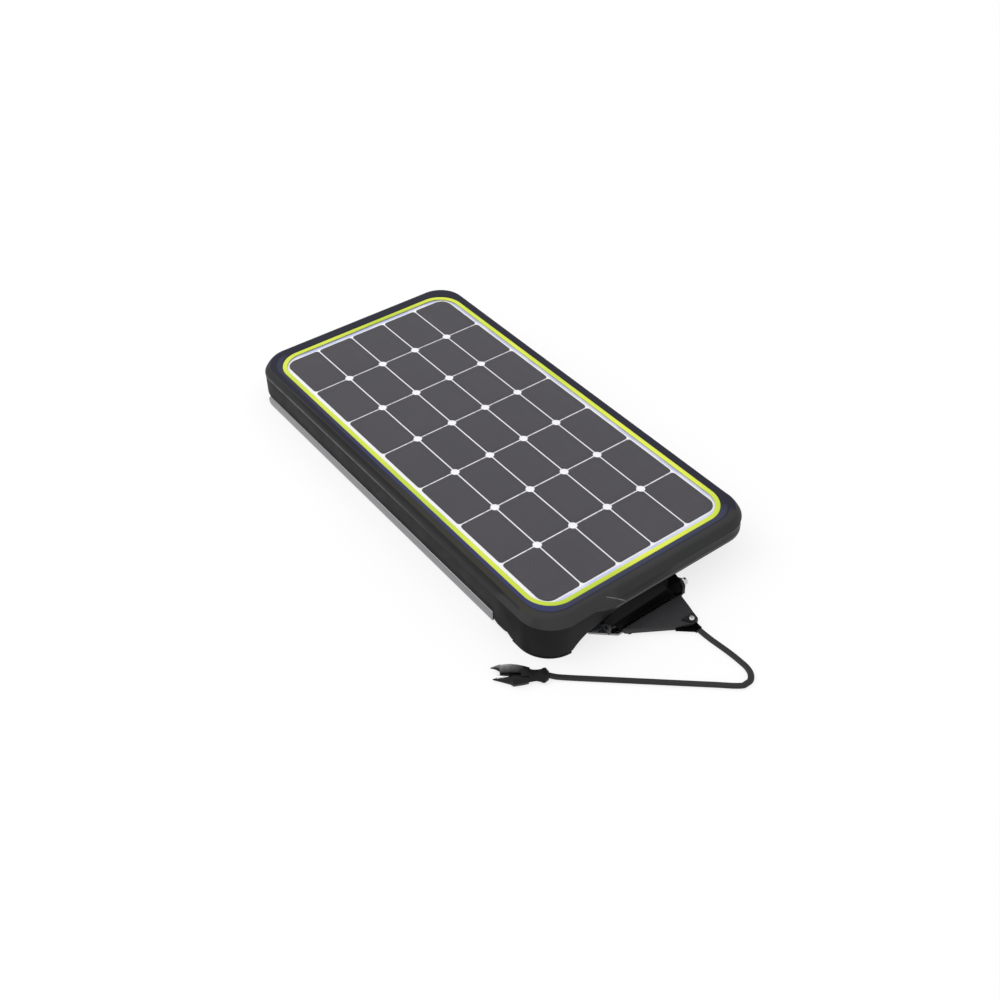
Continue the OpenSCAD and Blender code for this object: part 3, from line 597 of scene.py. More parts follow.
def smooth_route(points, steps):
    """Catmull-Rom curve through the route's points, held at the outer bend."""
    pts = [Vector(p) for p in points]
    pts = [2 * pts[0] - pts[1]] + pts + [2 * pts[-1] - pts[-2]]
    out = []
    for k in range(1, len(pts) - 2):
        a, b, c, d = pts[k - 1:k + 3]
        for s in range(steps):
            t = s / steps
            out.append(0.5 * (2 * b + (c - a) * t + (2 * a - 5 * b + 4 * c - d) * t * t
                              + (3 * b - a - 3 * c + d) * t ** 3))
    out.append(pts[-2])
    for p in out:
        p.y = max(p.y, CORD_NEAREST)
    return out


def squared(value, power):
    """A sine or cosine raised to a power, its sign kept, which squares off an ellipse."""
    return math.copysign(abs(value) ** power, value)


def twin_section(width, thick, points=28):
    """Section of a flat twin lead: two round cores side by side, joined by a shallow waist."""
    section = []
    for k in range(points):
        a = 2 * math.pi * k / points
        across = squared(math.cos(a), 0.7) * width / 2
        waist = 1 - 0.22 * math.exp(-(across / (0.13 * width)) ** 2)
        up = squared(math.sin(a), 0.8) * thick / 2 * waist
        section.append((across, up))
    return section


def make_cord():
    route = smooth_route(CORD_ROUTE, CORD_STEPS)
    section = twin_section(CORD_WIDTH, CORD_THICK)
    rings = []
    for k, p in enumerate(route):
        ahead = route[min(k + 1, len(route) - 1)] - route[max(k - 1, 0)]
        side = Vector((ahead.y, -ahead.x, 0)).normalized()
        up = side.cross(ahead).normalized()
        if up.z < 0:
            up = -up
        ring = []
        for across, rise in section:
            q = p + side * across + up * rise
            q.z = max(q.z, 0.02)
            ring.append(at(*q))
        rings.append(ring)
    verts, faces = capped_loft(rings)
    obj = piece("flat_lead", verts, faces, "foot", "cord_jacket", ["cord"], sharp=60)
    return obj, [at(*p) for p in route]


cord_obj, cord_path = make_cord()

RELIEF_AT = (12, -323.5)
RELIEF_TURN = math.radians(-88)
# Flat web of the boot along the nose's front edge
WEDGE = [(-6, -319), (8.5, -331.5), (9.2, -333.5), (15.6, -333.5), (16, -326.4), (10, -324), (-5, -317.5)]


def make_boot():
    """Flat tapered boot with grip notches, from under the nose to the lead."""
    along = Vector((math.cos(RELIEF_TURN), math.sin(RELIEF_TURN), 0))
    side = Vector((-along.y, along.x, 0))
    stations = []
    start, end = -11.0, 9.6
    count = 26
    for k in range(count + 1):
        t = start + (end - start) * k / count
        taper = smoothstep(-1, 9.6, t)
        half = 5.4 + (CORD_WIDTH / 2 + 0.25 - 5.4) * taper
        low = 0.6 + 0.6 * taper
        high = 5.6 - 0.8 * taper
        notch = 0.35 if t > 0 and (k % 3 == 1) else 0.0
        stations.append((t, half - notch, low + notch * 0.4, high - notch * 0.5))
    rings = []
    for t, half, low, high in stations:
        ring = []
        mid, rise = (low + high) / 2, (high - low) / 2
        for j in range(32):
            a = 2 * math.pi * j / 32
            u = squared(math.cos(a), 0.5) * half
            v = squared(math.sin(a), 0.5) * rise
            p = Vector((RELIEF_AT[0], RELIEF_AT[1], 0)) + along * t + side * u
            ring.append(at(p.x, p.y, mid + v))
        rings.append(ring)
    wedge = [[at(x, y, z) for x, y in WEDGE] for z in (0.7, 1.0, 4.6, 5.0)]
    verts, faces = merge([capped_loft(rings), capped_loft(wedge)])
    return piece("lead_boot", verts, faces, "foot", "black_rubber",
                 ["strain_relief"], sharp=50)


boot_obj = make_boot()

PLUG_AT = (-143.5, -288.8)
PLUG_TURN = math.radians(139)


def plug_point(t, u, z):
    c, s = math.cos(PLUG_TURN), math.sin(PLUG_TURN)
    return at(PLUG_AT[0] + t * c - u * s, PLUG_AT[1] + t * s + u * c, z)


def prism_ring(t, outline):
    """One station of the plug: (across, height) points at a distance along it."""
    return [plug_point(t, u, z) for u, z in outline]


def body_station(t, half, low, high, lean):
    """Eight-sided section with a flat top, its ridges set off by `lean`."""
    mid = (low + high) / 2
    return prism_ring(t, [
        (-half * 0.72 + lean, low), (-half + lean, mid - 1.0), (-half * 0.94 + lean, mid + 1.6),
        (-half * 0.45 + lean, high), (half * 0.38 + lean, high - 0.3), (half * 0.86 + lean, mid + 1.4),
        (half + lean, mid - 1.2), (half * 0.74 + lean, low),
    ])


def petal_station(t, outer, inner, low, high):
    """Section of one jaw, from its outer edge across a ridge to the slot."""
    ridge = outer + (inner - outer) * 0.42
    return prism_ring(t, [
        (outer * 0.92 + inner * 0.08, low), (outer, low + (high - low) * 0.45),
        (outer + (ridge - outer) * 0.3, high - 0.25), (ridge, high), (inner, high - 1.1), (inner, low + 0.4),
    ])


BODY = [
    (0.0, 3.4, 1.6, 6.6, 0.6), (0.8, 5.0, 1.0, 7.4, 0.5), (3.6, 8.6, 0.3, 8.3, 0.2),
    (5.6, 8.7, 0.2, 8.2, 0.2), (8.4, 7.0, 0.5, 7.6, 0.5), (12.0, 6.2, 0.8, 7.3, 0.7),
    (16.0, 6.6, 0.7, 7.6, 1.4), (20.0, 7.8, 0.5, 8.2, 1.8), (25.0, 9.0, 0.4, 8.7, 2.2),
    (27.0, 8.4, 0.7, 8.2, 2.2),
]
UPPER_JAW = [
    (19, -6.2, 1.2, 0.8, 8.2), (24, -7.4, 1.6, 0.5, 8.9), (31, -8.8, 1.8, 0.4, 9.1),
    (38, -9.4, 2.0, 0.5, 9.0), (43, -9.2, 2.1, 0.8, 8.4), (47.2, -8.7, 2.6, 1.2, 7.8),
    (48.4, -8.4, -3.2, 1.6, 7.6), (51, -7.6, -4.2, 2.4, 6.8), (54, -6.6, -4.6, 3.2, 5.9),
    (57, -5.4, -5.0, 4.0, 4.9),
]
LOWER_JAW = [
    (19, 9.6, 1.9, 0.5, 7.9), (24, 11.4, 2.0, 0.3, 8.3), (29.5, 12.9, 2.8, 0.25, 8.2),
    (33.6, 13.9, 3.4, 0.2, 7.8), (36.2, 11.8, 4.0, 0.4, 7.3), (40, 10.7, 4.7, 0.6, 6.6),
    (44, 9.6, 5.1, 0.8, 5.8), (48, 8.6, 4.6, 0.9, 4.9), (51, 7.8, 5.6, 1.0, 4.0),
    (54, 6.9, 6.5, 1.2, 2.6),
]


def make_plug():
    """Collar, waist and faceted grip, then two jaws that close round the contacts."""
    stations = [
        [body_station(*row) for row in BODY],
        [petal_station(*row) for row in UPPER_JAW],
        [petal_station(*row) for row in LOWER_JAW],
    ]
    # Painted highlight on the upper jaw's outer rows, brighter towards its tip.
    painted_highlight = []
    for rings in stations:
        for k, ring in enumerate(rings):
            for n in range(len(ring)):
                bright = 0.0
                if rings is stations[1] and n in (1, 2, 3):
                    bright = 0.75 * smoothstep(1, 3.2, k) + 0.25 * smoothstep(6, 8, k)
                painted_highlight.append(bright if n != 3 else bright * 0.5)
    verts, faces = merge([capped_loft(rings) for rings in stations])
    obj = piece("plug_shell", verts, faces, "foot", "plug_plastic",
                ["plug_body"], marks={"painted_highlight": painted_highlight}, sharp=24)
    soften(obj, 0.35)
    return obj


plug_obj = make_plug()

# ---- frame shell ----

CORNER_R = 38.0
RING_R = 32.0
WALL_SET = 0.7
WALL = 3.0
# The shell's inside faces get a tone darker than its walls: painted shade.
INSIDE_TONE = 0.1
CREASE_Z = TOP - 10
RIM_Z = TOP - 24
SKIRT_Z = 15.0
FOOT_Z = 2.0
LEDGE_Z = LEDGE_TOP - 2.7
ARC_STEPS = 24
SHORT_STEPS = 106
STRAIGHT = PANEL_L / 2 - CORNER_R
# Steps along a long side, with a close pair where the corner foot's skirt ends
LONG_MARKS = sorted(list(np.linspace(-1, 1, 150)) + [k / STRAIGHT for k in (-199.5, -199.3, 199.5, 199.3)])


def rounded_loop(w, l, r):
    """Points (x, y) and outward normals round a rounded rectangle, from the right side's near end."""
    loop = []
    half_x, half_y = w / 2 - r, l / 2 - r
    shorts = np.linspace(-1, 1, SHORT_STEPS)
    corners = [(half_x, half_y, 0), (-half_x, half_y, 90), (-half_x, -half_y, 180), (half_x, -half_y, 270)]
    sides = [
        [(w / 2, half_y * t, 1, 0) for t in LONG_MARKS],
        [(-half_x * t, l / 2, 0, 1) for t in shorts],
        [(-w / 2, -half_y * t, -1, 0) for t in LONG_MARKS],
        [(half_x * t, -l / 2, 0, -1) for t in shorts],
    ]
    for side, (cx, cy, start) in zip(sides, corners):
        loop += side
        for k in range(1, ARC_STEPS):
            a = math.radians(start + 90 * k / ARC_STEPS)
            loop.append((cx + r * math.cos(a), cy + r * math.sin(a), math.cos(a), math.sin(a)))
    return loop


def quad(a, b, c, steps=8):
    """Points on a quadratic curve."""
    ts = [k / steps for k in range(steps + 1)]
    return [tuple((1 - t) ** 2 * a[i] + 2 * t * (1 - t) * b[i] + t * t * c[i] for i in (0, 1)) for t in ts]


NEAR_EDGE = ([(-200, FOOT_Z)] + quad((-105, FOOT_Z), (-94, 14), (-82, 17))
             + quad((-82, 17), (-62, 20.5), (-52, 26.5))[1:] + [(-47, RIM_Z), (200, RIM_Z)])
LEFT_EDGE = [(-300, FOOT_Z), (-228, FOOT_Z), (-225, 3.6), (-223, 5.5), (-221, 5.2), (-219, 4), (-214, 3.4),
             (-206, 3.5), (-203, 4.4), (-201, 6), (-199.5, 9), (-199.3, SKIRT_Z), (300, SKIRT_Z)]


def lower_edge(x, y):
    """Height of the shell's lower edge at a place on its outline."""
    near = y < -PANEL_L / 2 + CORNER_R
    far = y > PANEL_L / 2 - CORNER_R
    left = x < -PANEL_W / 2 + CORNER_R
    right = x > PANEL_W / 2 - CORNER_R
    if near and not right:
        return read_off(NEAR_EDGE, x)
    if left:
        return read_off(LEFT_EDGE, y)
    if right:
        return RIM_Z if near else SKIRT_Z + (RIM_Z - SKIRT_Z) * (1 - smoothstep(-232, -226, y))
    return RIM_Z if far else FOOT_Z


def flute_depth(x, y):
    """Long finger groove along each long shoulder, fading out before the corners."""
    if abs(x) < PANEL_W / 2 - 1:
        return 0.0
    return 1.5 * smoothstep(-243, -232, y) * (1 - smoothstep(100, 240, y))


# Height of the step on the near wall: the corner foot's crease sinks to become the lip's upper edge
NEAR_STEP = [(-144, 42), (-118, 41.2), (-107, 40.2), (-98, 41), (-90, 42.3), (-84, 42.4), (-77, 40.5),
             (-69, 35.8), (-61, 32.4), (-53, 31), (-45, RIM_Z + 3.4), (144, RIM_Z + 3.4)]
# A short raised fold that runs up from the lip on to the shoulder
FOLD = [(-62.6, 48.6), (-61.6, 48.2), (-56.4, 45.5), (-49.9, 41.5), (-45, 37.2), (-40, 32.8), (-38.6, 31.6)]
SHOULDER = [(8.0, TOP - 0.10), (7.4, TOP - 0.45), (6.6, TOP - 1.15), (5.8, TOP - 2.0), (5.0, TOP - 2.9),
            (4.2, TOP - 3.9), (3.4, TOP - 5.0), (2.6, TOP - 6.2), (1.9, TOP - 7.4), (1.3, TOP - 8.6),
            (0.8, TOP - 9.4)]


def near_face(z):
    """How far the near wall's surface lies inside its outline at a height."""
    return read_off([(0.0, WALL_SET), (CREASE_Z - 0.4, WALL_SET)] + [(h, d) for d, h in SHOULDER[::-1]], z)


def fold_ridge():
    """Rings of the fold: a slim rounded ridge whose ends sink into the surface."""
    rings = []
    last = len(FOLD) - 1
    for k in range(4 * last + 1):
        x, z = (float(np.interp(k / 4, range(last + 1), places)) for places in zip(*FOLD))
        swell = math.sin(math.pi * k / (4 * last)) ** 0.5
        y = -PANEL_L / 2 + near_face(z)
        rings.append([at(x + 0.6 * swell * math.cos(a) + 0.01, y + 0.15 - 0.38 * swell * math.sin(a),
                         z + 0.8 * swell * math.cos(a)) for a in np.linspace(0, 2 * math.pi, 9)[:-1]])
    return rings


# The rows of the shell's section that make the flat of its face
FACE_ROWS = (8, 12)


def make_shell():
    """The frame as one closed skin: a section of rows carried round the outline, inside and out."""
    outer = rounded_loop(PANEL_W, PANEL_L, CORNER_R)
    inner = rounded_loop(RING_W, RING_L, RING_R)
    count = len(outer)
    verts, tones, painted_highlights, warms = [], [], [], []
    for i in range(count):
        x, y, nx, ny = outer[i]
        rx, ry, mx, my = inner[i]
        edge = lower_edge(x, y)
        groove = flute_depth(x, y)
        leftness = smoothstep(0.15, 0.6, -nx)
        nearness = smoothstep(0.5, 0.95, -ny)
        long_left = smoothstep(0.9, 1.0, -nx)
        corner_foot = smoothstep(-200, -214, y) * smoothstep(-46, -60, x)
        far_foot = smoothstep(0.2, 0.6, ny) * leftness
        nearer = smoothstep(230, -60, y)
        # Painted reflection: the face turns navy next to the ring, most on the near half of the left side,
        # and the rest of the face is greyer at the near end.
        ring_tone = max(0.62 + 0.16 * nearness, 0.62 + 0.10 * leftness + 0.26 * leftness * nearer)
        face_tone = 0.56 - 0.16 * max(nearness, leftness * smoothstep(-225, -250, y))
        step = CREASE_Z
        lip = WALL_SET * smoothstep(20, 27.5, edge)
        if ny < -0.5:
            step = read_off(NEAR_STEP, x)
        recess = 0.7 * corner_foot * smoothstep(-0.2, -0.7, ny)
        open_lip = nearness * smoothstep(-60, -46, x)
        thick = WALL + (2.0 * (1 - smoothstep(4, 15, edge)))
        # Painted light and shade: the shoulder and upper wall are painted lighter on the near and left sides
        # and most over the corner foot, the corner foot below its crease is painted dark as shade, and the
        # long left wall darker towards its foot.
        high_tone = 0.24 + 0.08 * max(nearness, long_left) + 0.09 * corner_foot
        low_tone = 0.24 - 0.14 * corner_foot
        left_wall_shade = 0.10 * long_left
        # Painted highlight along the left side's crease, strongest towards the far end, and round the far
        # left corner.
        crease_highlight = long_left * smoothstep(-130, 60, y) * 0.6 + 0.25 * leftness * far_foot
        rows = []

        def ring_row(e, z, tone):
            rows.append((rx + mx * e, ry + my * e, z, tone, 0.0))

        def outer_row(d, z, tone, painted_highlight=0.0):
            rows.append((x - nx * d, y - ny * d, z, tone, painted_highlight))

        def mixed_row(f, z, tone, d=8.0):
            ax, ay = rx + mx * 0.6, ry + my * 0.6
            bx, by = x - nx * d, y - ny * d
            rows.append((ax + (bx - ax) * f, ay + (by - ay) * f, z, tone, 0.0))

        ring_row(-9, LEDGE_TOP, 0.2)
        ring_row(0, LEDGE_TOP, 0.2)
        ring_row(0, TOP - 0.8, ring_tone)
        ring_row(0.15, TOP - 0.35, ring_tone)
        ring_row(0.6, TOP - 0.12, ring_tone)
        mixed_row(0.16, TOP - 0.10, ring_tone)
        mixed_row(0.40, TOP - 0.14, ring_tone)
        mixed_row(0.54, TOP - 0.04, face_tone + 0.25 * (ring_tone - face_tone))
        mixed_row(0.62, TOP, face_tone)
        mixed_row(0.90, TOP - 0.01, face_tone)
        for d, z in SHOULDER:
            dip = groove * math.exp(-((d - 4.6) / 1.5) ** 2)
            tone = face_tone + (high_tone - face_tone) * smoothstep(7.8, 5.2, d)
            # Painted shade: the groove of the flute is darkened.
            tone = max(tone - 0.08 * dip, 0.06)
            outer_row(d + dip * 0.8, z - dip * 0.6, tone, 0.5 * crease_highlight * smoothstep(1.6, 0.8, d))
        # rolled arris with a painted highlight on the left, then the wall above the step, the step, and the
        # wall or lip below it
        outer_row(0.45, CREASE_Z + 0.25, high_tone, crease_highlight)
        outer_row(0.40, CREASE_Z - 0.05, high_tone, crease_highlight)
        wall_top = min(CREASE_Z - 0.4, step + 30)
        above = max(step, edge + 0.8)
        drop = smoothstep(0.0, 1.5, wall_top - above)
        # Down the wall: beside the open lip it is painted lighter, and the long left wall is painted darker
        # towards its foot as shade.
        for k in range(4):
            down = drop * k / 3
            tone = high_tone + (0.05 * open_lip if ny < -0.5 else -left_wall_shade) * down
            height = wall_top + (above + 0.5 - wall_top) * down - 0.05 * k
            outer_row(WALL_SET - 0.25 * (1 - drop), height, tone)
        step_at = min(above, wall_top - 0.25)
        sunk = WALL_SET + recess - lip * open_lip
        low_tone += 0.13 * open_lip - left_wall_shade
        # Painted highlight along the upper edge of the open lip on the near side.
        outer_row(sunk + 0.05, step_at - 0.35, low_tone, 0.42 * open_lip)
        outer_row(sunk, step_at - 0.8, low_tone, 0.30 * open_lip)
        base = edge + 2.2
        if open_lip < 0.5:
            base = edge + max(5.0, (0.6 - 0.2 * long_left) * (step_at - edge))
        outer_row(sunk, min(step_at - 1.0, base), low_tone)
        low_tone -= 0.13 * long_left
        low_d = sunk
        if open_lip < 0.5:
            low_d = WALL_SET + recess - lip
            outer_row(WALL_SET + recess - lip * 0.1, min(step_at - 1.3, edge + 4.0), low_tone)
            outer_row(low_d, min(step_at - 1.6, edge + 3.0), low_tone)
        else:
            outer_row(low_d, edge + 2.0, low_tone)
            outer_row(low_d, edge + 1.8, low_tone)
        outer_row(low_d, edge + 1.5, low_tone)
        outer_row(low_d + 0.12, edge + 0.6, low_tone)
        inner_top = min(max(edge + 1.0, 25.5), 29.0)
        inside = [(low_d + 0.6, edge + 0.1), (low_d + 1.1, edge), (WALL_SET + thick - 0.4, edge),
                  (WALL_SET + thick, edge + 0.4), (WALL_SET + thick, inner_top - 0.6),
                  (WALL_SET + WALL, max(inner_top, edge + 1.2)), (WALL_SET + WALL, CREASE_Z - 2)]
        for d, z in inside:
            outer_row(d, z, INSIDE_TONE)
        ring_row(3, TOP - 4.5, INSIDE_TONE)
        ring_row(3, LEDGE_Z, INSIDE_TONE)
        ring_row(-9, LEDGE_Z, INSIDE_TONE)
        verts += [at(*row[:3]) for row in rows]
        tones += [row[3] for row in rows]
        painted_highlights += [row[4] for row in rows]
        warm = 0.85 * long_left * smoothstep(60, -60, y)
        warms += [warm if FACE_ROWS[0] <= k <= FACE_ROWS[1] else 0.0 for k in range(len(rows))]
    columns = len(verts) // count
    faces = loft_faces(count, columns, closed_rows=True)
    ridge_verts, ridge_faces = capped_loft(fold_ridge())
    verts, faces = merge([(verts, faces), (ridge_verts, ridge_faces)])
    # The fold ridge gets a mid tone and a painted highlight.
    for values, level in ((tones, 0.40), (painted_highlights, 0.55), (warms, 0.0)):
        values += [level] * len(ridge_verts)
    return piece("shell", verts, faces, "panel", "frame_plastic",
                 ["front_frame"], marks={"tone": tones, "painted_highlight": painted_highlights, "warm": warms}, sharp=46)


make_shell()


def make_ring():
    """Soft trim ring with a low crowned top."""
    inset = RING_BAND - 0.1
    outer = rounded_loop(RING_W - 0.2, RING_L - 0.2, RING_R - 0.1)
    inner = rounded_loop(RING_W - 0.2 - 2 * inset, RING_L - 0.2 - 2 * inset, RING_R - 0.1 - inset)
    section = [(0, 0), (0, 0.50), (0.04, 0.64), (0.12, 0.72), (0.5, 0.74), (0.88, 0.66), (0.96, 0.55),
               (1, 0.36), (1, 0)]
    verts = []
    for (ax, ay, _, _), (bx, by, _, _) in zip(outer, inner):
        verts += [at(ax + (bx - ax) * f, ay + (by - ay) * f, RING_SEAT + z) for f, z in section]
    faces = loft_faces(len(outer), len(section), closed_rows=True)
    return piece("trim_ring", verts, faces, "panel", "lime_trim",
                 ["accent_ring"], sharp=60)


make_ring()

SHEET_GAP = 0.06


def make_sheet():
    """The clear cover, its underside just clear of the cells."""
    lo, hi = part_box("cover_glass")
    width, length = (hi[0] - lo[0]) / MM, (hi[1] - lo[1]) / MM
    outline = [(x, y) for x, y, _, _ in rounded_loop(width, length, RING_R - 0.5)]
    slab_piece("cover_sheet", outline, "z", lo[2] / MM + SHEET_GAP, hi[2] / MM, 0.2, "panel", "clear_cover",
               ["cover_glass"])


make_sheet()

# ---- stand rails ----

RAIL_NEAR_Y = -198.0
RAIL_PIVOT_Y = 244.0
RAIL_Z = (2.0, 14.5)
RAIL_W = 10.0


def make_rail(side):
    """Anodised rail with rounded arrises and a round end about its pin."""
    mid, r = (RAIL_Z[0] + RAIL_Z[1]) / 2, (RAIL_Z[1] - RAIL_Z[0]) / 2
    outline = [(RAIL_NEAR_Y, RAIL_Z[0]), (RAIL_PIVOT_Y, RAIL_Z[0])]
    outline += arc(RAIL_PIVOT_Y, mid, r, -90, 90, 20)[1:-1]
    outline += [(RAIL_PIVOT_Y, RAIL_Z[1]), (RAIL_NEAR_Y, RAIL_Z[1])]
    out_x = side * PANEL_W / 2
    lo, hi = sorted((out_x, out_x - side * RAIL_W))
    name = "left" if side < 0 else "right"
    slab_piece(f"rail_{name}", outline, "x", lo, hi, 2.4, "stand", "stand_aluminium",
               [f"stand_rail_{name}"], segments=5)


for side in (-1, 1):
    make_rail(side)

# ---- hinge ----

PIVOT_Z = 12.0
BAR_LEFT = -60.6
HOOD_LEFT = -67.5
BAR_RIGHT = 19.0
SLEEVE_RIGHT = 30.5
# Where the frame's lower edge stops rising, and the bar's height behind that place
ARCH_X = -47.0
BAR_UP = 15.2
LIP_LAP = 0.7


def hinge_point(x, back, up):
    """A place given from the pivot: along it, towards the panel, and up."""
    return at(x, PIVOT_Y + back, PIVOT_Z + up)


def arch_up(x):
    """Height of the frame's arch over the pivot."""
    return read_off(NEAR_EDGE, x) - PIVOT_Z


def crease_up(x):
    """Height over the pivot of the crease between the bar's two front facets."""
    return 7.0 + 6.0 * (x - BAR_LEFT) / (BAR_RIGHT - BAR_LEFT)


def bar_section(x, shrink=0.0):
    """Hinge bar: round under the pivot, an upright front facet and a sloping one tucked under the lip."""
    up = crease_up(x)
    front = [(-5.3, -5.3), (-7.2, -3.2), (-7.75, -1.3), (-6.9, 3.0), (-5.35, up - 0.3), (-5.2, up)]
    if x > ARCH_X:
        top = [(-1.4, (up + BAR_UP) / 2), (2.5, BAR_UP), (5.6, BAR_UP + 0.2), (5.6, 12)]
        top += [(33, 12), (33, 4), (21, 1), (13, -5)]
    else:
        lip = arch_up(x) + LIP_LAP
        top = [(-1.4, (up + lip) / 2 + 0.3), (2.5, lip), (2.9, lip - 0.3), (2.9, 9)]
        top += [(6, 9), (7, 6), (8, 2), (9, -3)]
    points = front + top + [(3.5, -6.6), (0, -7.5)]
    return [(b + (shrink if b < 0 else 0), u - (shrink if u > 0 else 0)) for b, u in points]


def make_hinge():
    """Bar with a raked left end that hoods the ear, and a darker sleeve let into its right end."""
    stations = [BAR_LEFT, -56, -52, ARCH_X - 0.01, ARCH_X + 0.6, -36, -24, -12, 0, 6, 9, BAR_RIGHT]
    rings, tones = [], []
    for k, x in enumerate(stations):
        ring = []
        for n, (back, up) in enumerate(bar_section(x)):
            place = x
            if k < 2 and back < -5:
                place = max(x, BAR_LEFT + 7.5 * smoothstep(6.5, -2.5, up))
            if k == len(stations) - 1 and -8 < back < 0:
                place = x - 9.5 * math.exp(-((up - 12.5) / 6.0) ** 2)
            ring.append(hinge_point(place, back, up))
            # Painted light: upper facet rows lit grey, the lowest front rows half lit, the rest shaded black.
            tones.append(1.0 if 4 < n < 9 else 0.4 if n < 3 else 0.0)
        rings.append(ring)
    hood = []
    hood_from = BAR_LEFT + 1
    for k in range(5):
        x = hood_from + (HOOD_LEFT - hood_from) * k / 4
        raked = hood_from - 3.6 * k / 4
        middle = (x + raked) / 2
        lip = arch_up(x) + LIP_LAP
        half_up = (7.0 + lip) / 2
        ring = [(raked, -5.3, 7.0), (middle, -1.4, half_up + 0.3), (x, 2.5, lip), (x, 2.6, lip - 1.0),
                (middle, -1.2, half_up - 0.3), (raked, -4.4, 6.8)]
        hood.append([hinge_point(*p) for p in ring])
        # The hood is painted lit grey like the upper facets.
        tones += [1.0] * len(ring)
    verts, faces = merge([capped_loft(rings), capped_loft(hood)])
    bar = piece("hinge_shell", verts, faces, "panel", "hinge_plastic",
                ["hinge_housing"], marks={"tone": tones}, sharp=30)
    soften(bar, 0.3)
    rings = []
    stations = [(BAR_RIGHT - 10, 0.35), (BAR_RIGHT, 0.35), (SLEEVE_RIGHT - 1.6, 0.35), (SLEEVE_RIGHT, 1.8)]
    for x, shrink in stations:
        rings.append([hinge_point(x, b, u) for b, u in bar_section(min(x, BAR_RIGHT), shrink)])
    verts, faces = capped_loft(rings)
    sleeve = piece("sleeve_shell", verts, faces, "panel", "black_rubber",
                   ["hinge_sleeve"], sharp=30)
    soften(sleeve, 0.35)


make_hinge()


EAR_T = 3.4


def make_ear_and_bolt():
    """Slim left ear on its bent tab, the pivot bolt with a low socket head, and the washers."""
    lo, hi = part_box("hinge_ear_left")
    x0, x1 = lo[0] / MM, hi[0] / MM
    back = (hi[1] - PANEL_Y) / MM
    face = [(PIVOT_Y - 3.6, 4.0)] + arc(PIVOT_Y, PIVOT_Z, 4.2, 190, 20, 18)
    face += [(PIVOT_Y + 9, 8.5), (back, 7.0), (back, 4.0)]
    slab_piece("ear_left_plate", face, "x", x1 - EAR_T, x1 - 0.4, 0.6, "foot", "painted_steel",
               ["hinge_ear_left"])
    tab = [(x0 + 0.4, back), (x0 + 0.4, back - 13), (x0 + 3, back - 16), (x1 - 1, back - 16), (x1 - 1, back)]
    slab_piece("ear_left_tab", tab, "z", 4.0, 6.6, 0.6, "foot", "painted_steel")
    lo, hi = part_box("pivot_bolt")
    right = hi[0] / MM
    head = x1 - EAR_T
    profile = [(0.05, right), (2.4, right), (3.0, right - 0.6), (3.0, head), (3.3, head), (3.3, head - 0.2),
               (2.8, head - 0.5), (1.4, head - 0.5), (1.4, head), (0.05, head)]
    rings = turned(profile[::-1], at(0, PIVOT_Y, PIVOT_Z), (1, 0, 0))
    verts, faces = capped_loft(rings)
    piece("pivot_bolt_detail", verts, faces, "foot", "black_steel", ["pivot_bolt"],
          sharp=30)
    washers = []
    for points in islands("pivot_washers"):
        lo, hi = points[:, 0].min() / MM, points[:, 0].max() / MM
        disc = [(3.05, lo + 0.05), (4.1, lo + 0.05), (4.3, lo + 0.2), (4.3, hi - 0.2), (4.1, hi - 0.05),
                (3.05, hi - 0.05)]
        washers.append(closed_turning(disc, at(0, PIVOT_Y, PIVOT_Z), (1, 0, 0)))
    verts, faces = merge(washers)
    piece("washers_detail", verts, faces, "foot", "nylon", ["pivot_washers"], sharp=30)


make_ear_and_bolt()

# ---- foot ----

COVER_BACK = PIVOT_Y - 8.1
COVER_OUTLINE = [(-49, -292), (-6, -318.5), (10, -326), (16, -326), (18.5, -325), (23.5, -308),
                 (28, COVER_BACK), (-50, COVER_BACK)]
slab_piece("foot_shell", COVER_OUTLINE, "z", 1.5, 8.0, 1.1, "foot", "cover_plastic", ["foot_cover"],
           segments=4)

# ---- turned pieces and screws ----


def cross_recess(arm, half):
    """Radius of a plus-shaped recess at an angle."""

    def radius(a):
        fold = (a + math.pi / 4) % (math.pi / 2) - math.pi / 4
        return min(arm / math.cos(fold), half / max(abs(math.sin(fold)), 1e-6))

    return radius


def screw_shape(points, head_up):
    """A pan-head screw with a cross recess, fitted to the place and size of a CAD screw."""
    lo, hi = points.min(0), points.max(0)
    centre = (lo + hi) / 2
    radial = np.hypot(points[:, 0] - centre[0], points[:, 1] - centre[1])
    head_r = radial.max()
    in_head = points[radial > head_r * 0.95]
    head_lo, head_hi = in_head[:, 2].min(), in_head[:, 2].max()
    shank = points[radial < head_r * 0.75]
    shank_far = shank[:, 2].min() if head_up else shank[:, 2].max()
    shank_r = np.hypot(shank[:, 0] - centre[0], shank[:, 1] - centre[1]).max()
    base = head_lo if head_up else head_hi
    direction = (0, 0, 1) if head_up else (0, 0, -1)
    h = (head_hi - head_lo) / MM
    r = head_r / MM
    s = shank_r / MM
    depth = abs(shank_far - base) / MM
    profile = [(0.02, -depth), (s * 0.7, -depth), (s, -depth + s * 0.5), (s, 0), (r * 0.97, 0), (r, h * 0.12),
               (r, h * 0.35), (r * 0.93, h * 0.68), (r * 0.78, h * 0.9), (r * 0.66, h)]
    slot_top = cross_recess(r * 0.56, r * 0.16)
    slot_low = cross_recess(r * 0.42, r * 0.12)
    profile += [(slot_top, h), (slot_low, h * 0.4), (0.02, h * 0.32)]
    rings = turned(profile, (centre[0], centre[1], base), direction)
    return capped_loft(rings)


